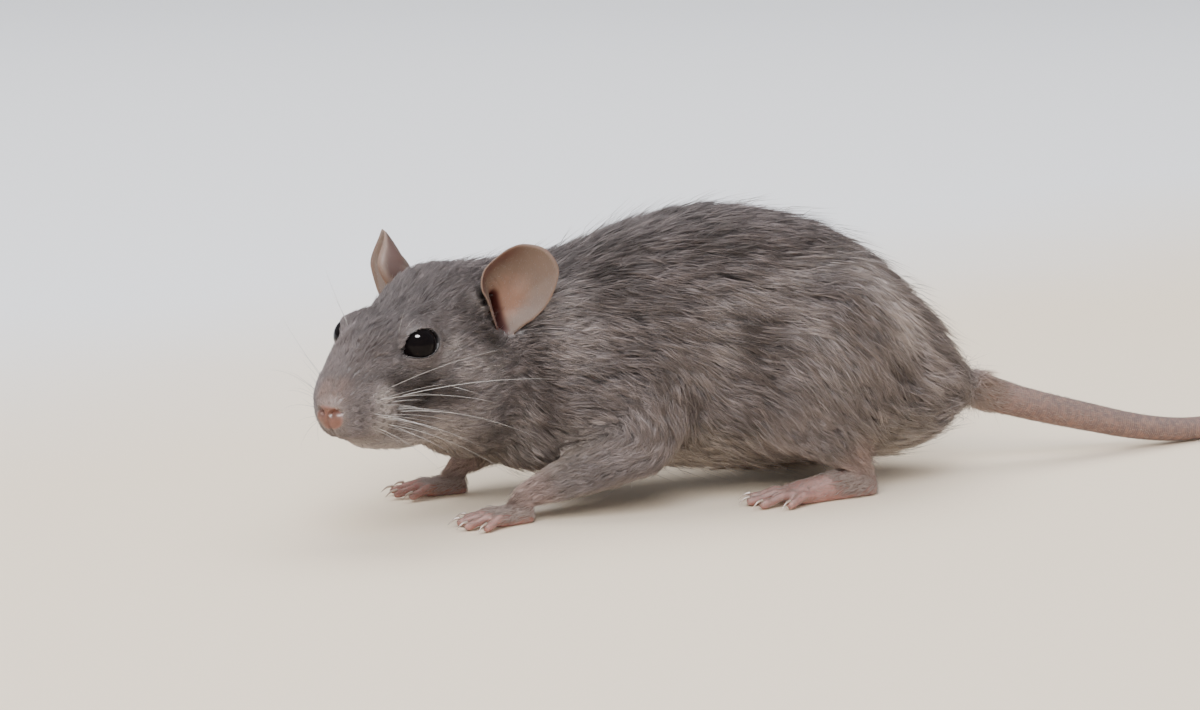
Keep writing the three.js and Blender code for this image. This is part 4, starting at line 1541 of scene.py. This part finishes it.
@dataclass(frozen=True)
class CoatFinish:
    """Hair: darker at the root, lighter towards the tip, no two tufts quite alike. The darker root is the
    hair's own slate base together with painted shade deep in the coat.
    """

    markings: Markings = Markings()
    down: Paint = (0.33, 0.265, 0.235, 1)
    sheen: float = 0.06

    def material(self) -> bpy.types.Material:
        """Builds the material."""
        kit = ShaderKit("coat_hair")
        place = kit.place()
        tone, along, bald = kit.attribute("tone"), kit.attribute("along"), kit.attribute("bald")
        colour = self.markings.colour(kit, place)
        # Darker towards the root, more in long tufts: the hair's own slate base with painted shade of the
        # lower coat.
        deep = (along - 0.72) * kit.attribute("force") * 0.66 + 1.0
        colour = kit.tinted(colour, deep * (0.52 + tone * 0.96))
        colour = kit.mix(kit.step(bald, 0.1, 0.5) * 0.85, colour, self.down)
        rough = 0.52 + tone * 0.12
        return kit.close(
            Base_Color=colour, Roughness=rough, Specular_IOR_Level=0.1, Sheen_Weight=self.sheen
        )


@dataclass(frozen=True)
class SkinFinish:
    """Haired skin where the coat grows, darkened as painted shade; bare pink skin on nose, ears, feet and
    tail, with painted shade in its recesses and a painted highlight on the ears.
    """

    markings: Markings = Markings()
    foot: Paint = (0.33, 0.182, 0.156, 1)
    flush: Paint = (0.27, 0.115, 0.095, 1)
    ear: Paint = (0.145, 0.1, 0.079, 1)
    ear_rim: Paint = (0.25, 0.17, 0.135, 1)
    # Painted highlight of the ear's middle, over its own pink.
    ear_glow: Paint = (0.26, 0.14, 0.097, 1)
    # Painted shade of recesses, reddish like the skin inside them.
    ear_deep: Paint = (0.062, 0.014, 0.011, 1)
    nose: Paint = (0.13, 0.066, 0.05, 1)
    tail: Paint = (0.15, 0.098, 0.088, 1)
    tail_under: Paint = (0.25, 0.15, 0.122, 1)
    lid: Paint = (0.012, 0.009, 0.009, 1)

    def material(self) -> bpy.types.Material:
        """Builds the material."""
        kit = ShaderKit("rat_skin")
        place = kit.place()
        # The coat's colours darkened on the skin under the tufts: painted shade, so that partings in the
        # coat read dark.
        furred_in_shade = kit.tinted(self.markings.colour(kit, place), 0.55)
        bare, ear, ring = kit.attribute("bare"), kit.attribute("ear"), kit.attribute("ring")
        height = kit.axis(place, (0, 0, 0), (0, 0, 1))
        mottle = kit.noise(place, 0.9, 4)
        fine = kit.noise(place, 4.0, 3)
        foot = kit.mix(kit.step(mottle + fine * 0.3, 0.45, 0.9) * 0.7, self.foot, self.flush)
        on_tail = kit.step(ring, 6, 9)
        tail = kit.mix(kit.step(mottle, 0.35, 0.7), self.tail, self.tail_under)
        scale = kit.math("SINE", ring * 11.0 + fine * 1.6)
        tail = kit.tinted(tail, 0.93 + scale * 0.09)
        tail = kit.mix(kit.step(ring, 22, 9) * 0.6, tail, self.tail_under)
        colour = kit.mix(on_tail, foot, tail)
        share = kit.attribute("cup")
        # The cup lighter and pinker in the middle, darker towards the rim: the ear's own pink with a
        # painted highlight.
        cup = kit.mix(kit.step(share + mottle * 0.3, 0.85, 0.3) * 0.8, self.ear, self.ear_glow)
        cup = kit.mix(kit.step(share, 0.94, 1.0), cup, self.ear_rim)
        # Painted shade in the canal's slit and under the curled rim.
        cup = kit.mix(kit.attribute("canal"), cup, self.ear_deep)
        colour = kit.mix(kit.step(ear, 0.2, 0.6), colour, cup)
        nose = kit.mix(kit.step(mottle + fine * 0.4, 0.5, 0.9) * 0.3, self.nose, self.flush)
        # Painted shade in the nostrils, the mouth and the groove below the nose, deeper where they are cut
        # deeper.
        nose = kit.mix(kit.step(kit.attribute("sunk"), 0.35, 0.9), nose, self.ear_deep)
        colour = kit.mix(kit.attribute("pad"), colour, nose)
        colour = kit.mix(kit.step(bare, 0.15, 0.85), furred_in_shade, colour)
        # Near black at the lid margins and in the pocket round the ball: the lids' own dark edge, with
        # painted shade in the pocket.
        colour = kit.mix(kit.step(kit.attribute("lid"), 0.42, 0.12), colour, self.lid)
        rough = 0.62 - kit.attribute("pad") * 0.2 + fine * 0.1
        relief = fine * 0.5 + mottle * 0.3 + scale * on_tail * 0.35
        normal = kit.bump(relief, 0.12, 0.8)
        return kit.close(
            Base_Color=colour, Roughness=rough, Normal=normal, Specular_IOR_Level=0.26,
            Subsurface_Weight=0.12, Subsurface_Radius=(1.0, 0.35, 0.2), Subsurface_Scale=0.6 * MM,
        )  # fmt: skip


@dataclass(frozen=True)
class EyeFinish:
    """A wet black eye, faintly brown."""

    def material(self) -> bpy.types.Material:
        """Builds the material."""
        kit = ShaderKit("eye_black")
        cloud = kit.noise(kit.place(), 1.2, 3)
        colour = kit.mix(cloud, (0.0025, 0.0022, 0.0028, 1), (0.006, 0.004, 0.004, 1))
        return kit.close(Base_Color=colour, Roughness=0.06 + cloud * 0.04, Specular_IOR_Level=0.07)


@dataclass(frozen=True)
class HornFinish:
    """Translucent pale horn."""

    def material(self) -> bpy.types.Material:
        """Builds the material."""
        kit = ShaderKit("claw_horn")
        place = kit.place()
        grain = kit.noise(place, 2.5, 3, (0.4, 1, 1))
        colour = kit.mix(grain, (0.3, 0.215, 0.175, 1), (0.46, 0.37, 0.31, 1))
        return kit.close(
            Base_Color=colour, Roughness=0.3 + grain * 0.15, Normal=kit.bump(grain, 0.05, 0.5)
        )


@dataclass(frozen=True)
class WhiskerFinish:
    """Pale stiff hair."""

    def material(self) -> bpy.types.Material:
        """Builds the material."""
        kit = ShaderKit("whisker_hair")
        place = kit.place()
        cloud = kit.noise(place, 0.6, 2)
        colour = kit.mix(cloud, (0.26, 0.24, 0.23, 1), (0.5, 0.47, 0.45, 1))
        return kit.close(Base_Color=colour, Roughness=0.35 + cloud * 0.1)


# ---------------------------------------------------------------- studio


@dataclass(frozen=True)
class Studio:
    """A plain pale floor, soft light from above, and the camera."""

    target: Triple = (-66.494, -7.877, 28.9)
    azimuth: float = -18.0
    elevation: float = 11.0
    distance: float = 600.0
    lens: float = 90.0

    def build(self) -> None:
        """Sets everything up."""
        self.floor()
        key = self.light("key_box", (-0.85, -1.35, 1.25), (1.7, 1.1), 46.0, (1.0, 0.98, 0.96))
        top = self.light("top_box", (0.1, 0.5, 1.9), (2.8, 1.8), 44.0, (0.98, 0.99, 1.0))
        gleam = self.light("catch_box", (-0.36, -1.0, 1.65), (0.85, 0.48), 310.0, (1.0, 1.0, 1.0))
        gleam.visible_diffuse = False
        key.visible_glossy = top.visible_glossy = False
        self.world()
        self.camera()

    def floor(self) -> None:
        """A wide floor that pales with distance."""
        alone()
        bpy.ops.mesh.primitive_grid_add(x_subdivisions=8, y_subdivisions=8, size=6.0)
        floor = bpy.context.object
        floor.name = "floor"
        kit = ShaderKit("pale_floor")
        place = kit.place()
        depth = kit.axis(place, (0, 0, 0), (-0.309, 0.951, 0))
        cloud = kit.noise(place, 0.01, 2)
        colour = kit.mix(
            kit.step(depth + cloud * 60, 110, 330), (0.84, 0.71, 0.55, 1), (0.84, 0.845, 0.87, 1)
        )
        floor.data.materials.append(kit.close(Base_Color=colour, Roughness=0.85))

    @staticmethod
    def light(
        name: str, place: Triple, size: tuple[float, float], power: float, tint: Triple
    ) -> bpy.types.Object:
        """An area light that faces the animal."""
        data = bpy.data.lights.new(name, "AREA")
        data.shape = "ELLIPSE"
        data.size, data.size_y = size
        data.energy = power
        data.color = tint
        lamp = placed(name, data)
        lamp.location = place
        aim = Vector((-0.03, -0.01, 0.03)) - Vector(place)
        lamp.rotation_euler = aim.to_track_quat("-Z", "Y").to_euler()
        return lamp

    @staticmethod
    def world() -> None:
        """A pale even surrounding."""
        world = bpy.data.worlds.new("pale_room")
        world.use_nodes = True
        shade = world.node_tree.nodes["Background"]
        shade.inputs["Color"].default_value = (0.86, 0.89, 0.95, 1)
        shade.inputs["Strength"].default_value = 0.64
        bpy.context.scene.world = world

    def camera(self) -> None:
        """The camera, level with the animal and slightly above it."""
        turn, rise = math.radians(self.azimuth), math.radians(self.elevation)
        back = Vector(
            (math.sin(turn) * math.cos(rise), -math.cos(turn) * math.cos(rise), math.sin(rise))
        )
        data = bpy.data.cameras.new("view")
        data.lens = self.lens
        data.sensor_width = 36.0
        data.clip_start, data.clip_end = 0.01, 20.0
        camera = placed("view", data)
        camera.location = (Vector(self.target) + back * self.distance) * MM
        camera.rotation_euler = (-back).to_track_quat("-Z", "Y").to_euler()
        bpy.context.scene.camera = camera


# ---------------------------------------------------------------- assembly


def dress(piece: bpy.types.Object, material: bpy.types.Material) -> None:
    """Gives a piece its finish and the body it rides on."""
    piece.data.materials.clear()
    piece.data.materials.append(material)
    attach(piece, "root")
    LOG.info("%s: %d faces", piece.name, len(piece.data.polygons))


def main() -> None:
    """Builds the animal and its setting."""
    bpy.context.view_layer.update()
    skin = Skin()
    hide = skin.build()
    coat = Coat(skin).build()
    balls = [Eye(socket).build() for socket in skin.sockets]
    claws = [Claws(limb, 4 if limb.startswith("fore") else 5) for limb in LIMB_LINES]
    horns = [one.build() for one in claws]
    whiskers = Whiskers(skin).build()

    dress(hide, SkinFinish().material())
    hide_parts(*(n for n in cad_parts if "claw" not in n and "eye" not in n))
    hair = CoatFinish().material()
    for piece in coat:
        dress(piece, hair)
    black = EyeFinish().material()
    for ball, socket in zip(balls, skin.sockets):
        dress(ball, black)
        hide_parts(f"eye_{socket.side.word}")
    horn = HornFinish().material()
    for piece, design in zip(horns, claws):
        dress(piece, horn)
        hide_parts(*design.nodes())
    dress(whiskers, WhiskerFinish().material())
    Studio().build()


if __name__ == "__main__":
    logging.basicConfig(level=logging.INFO)
    main()
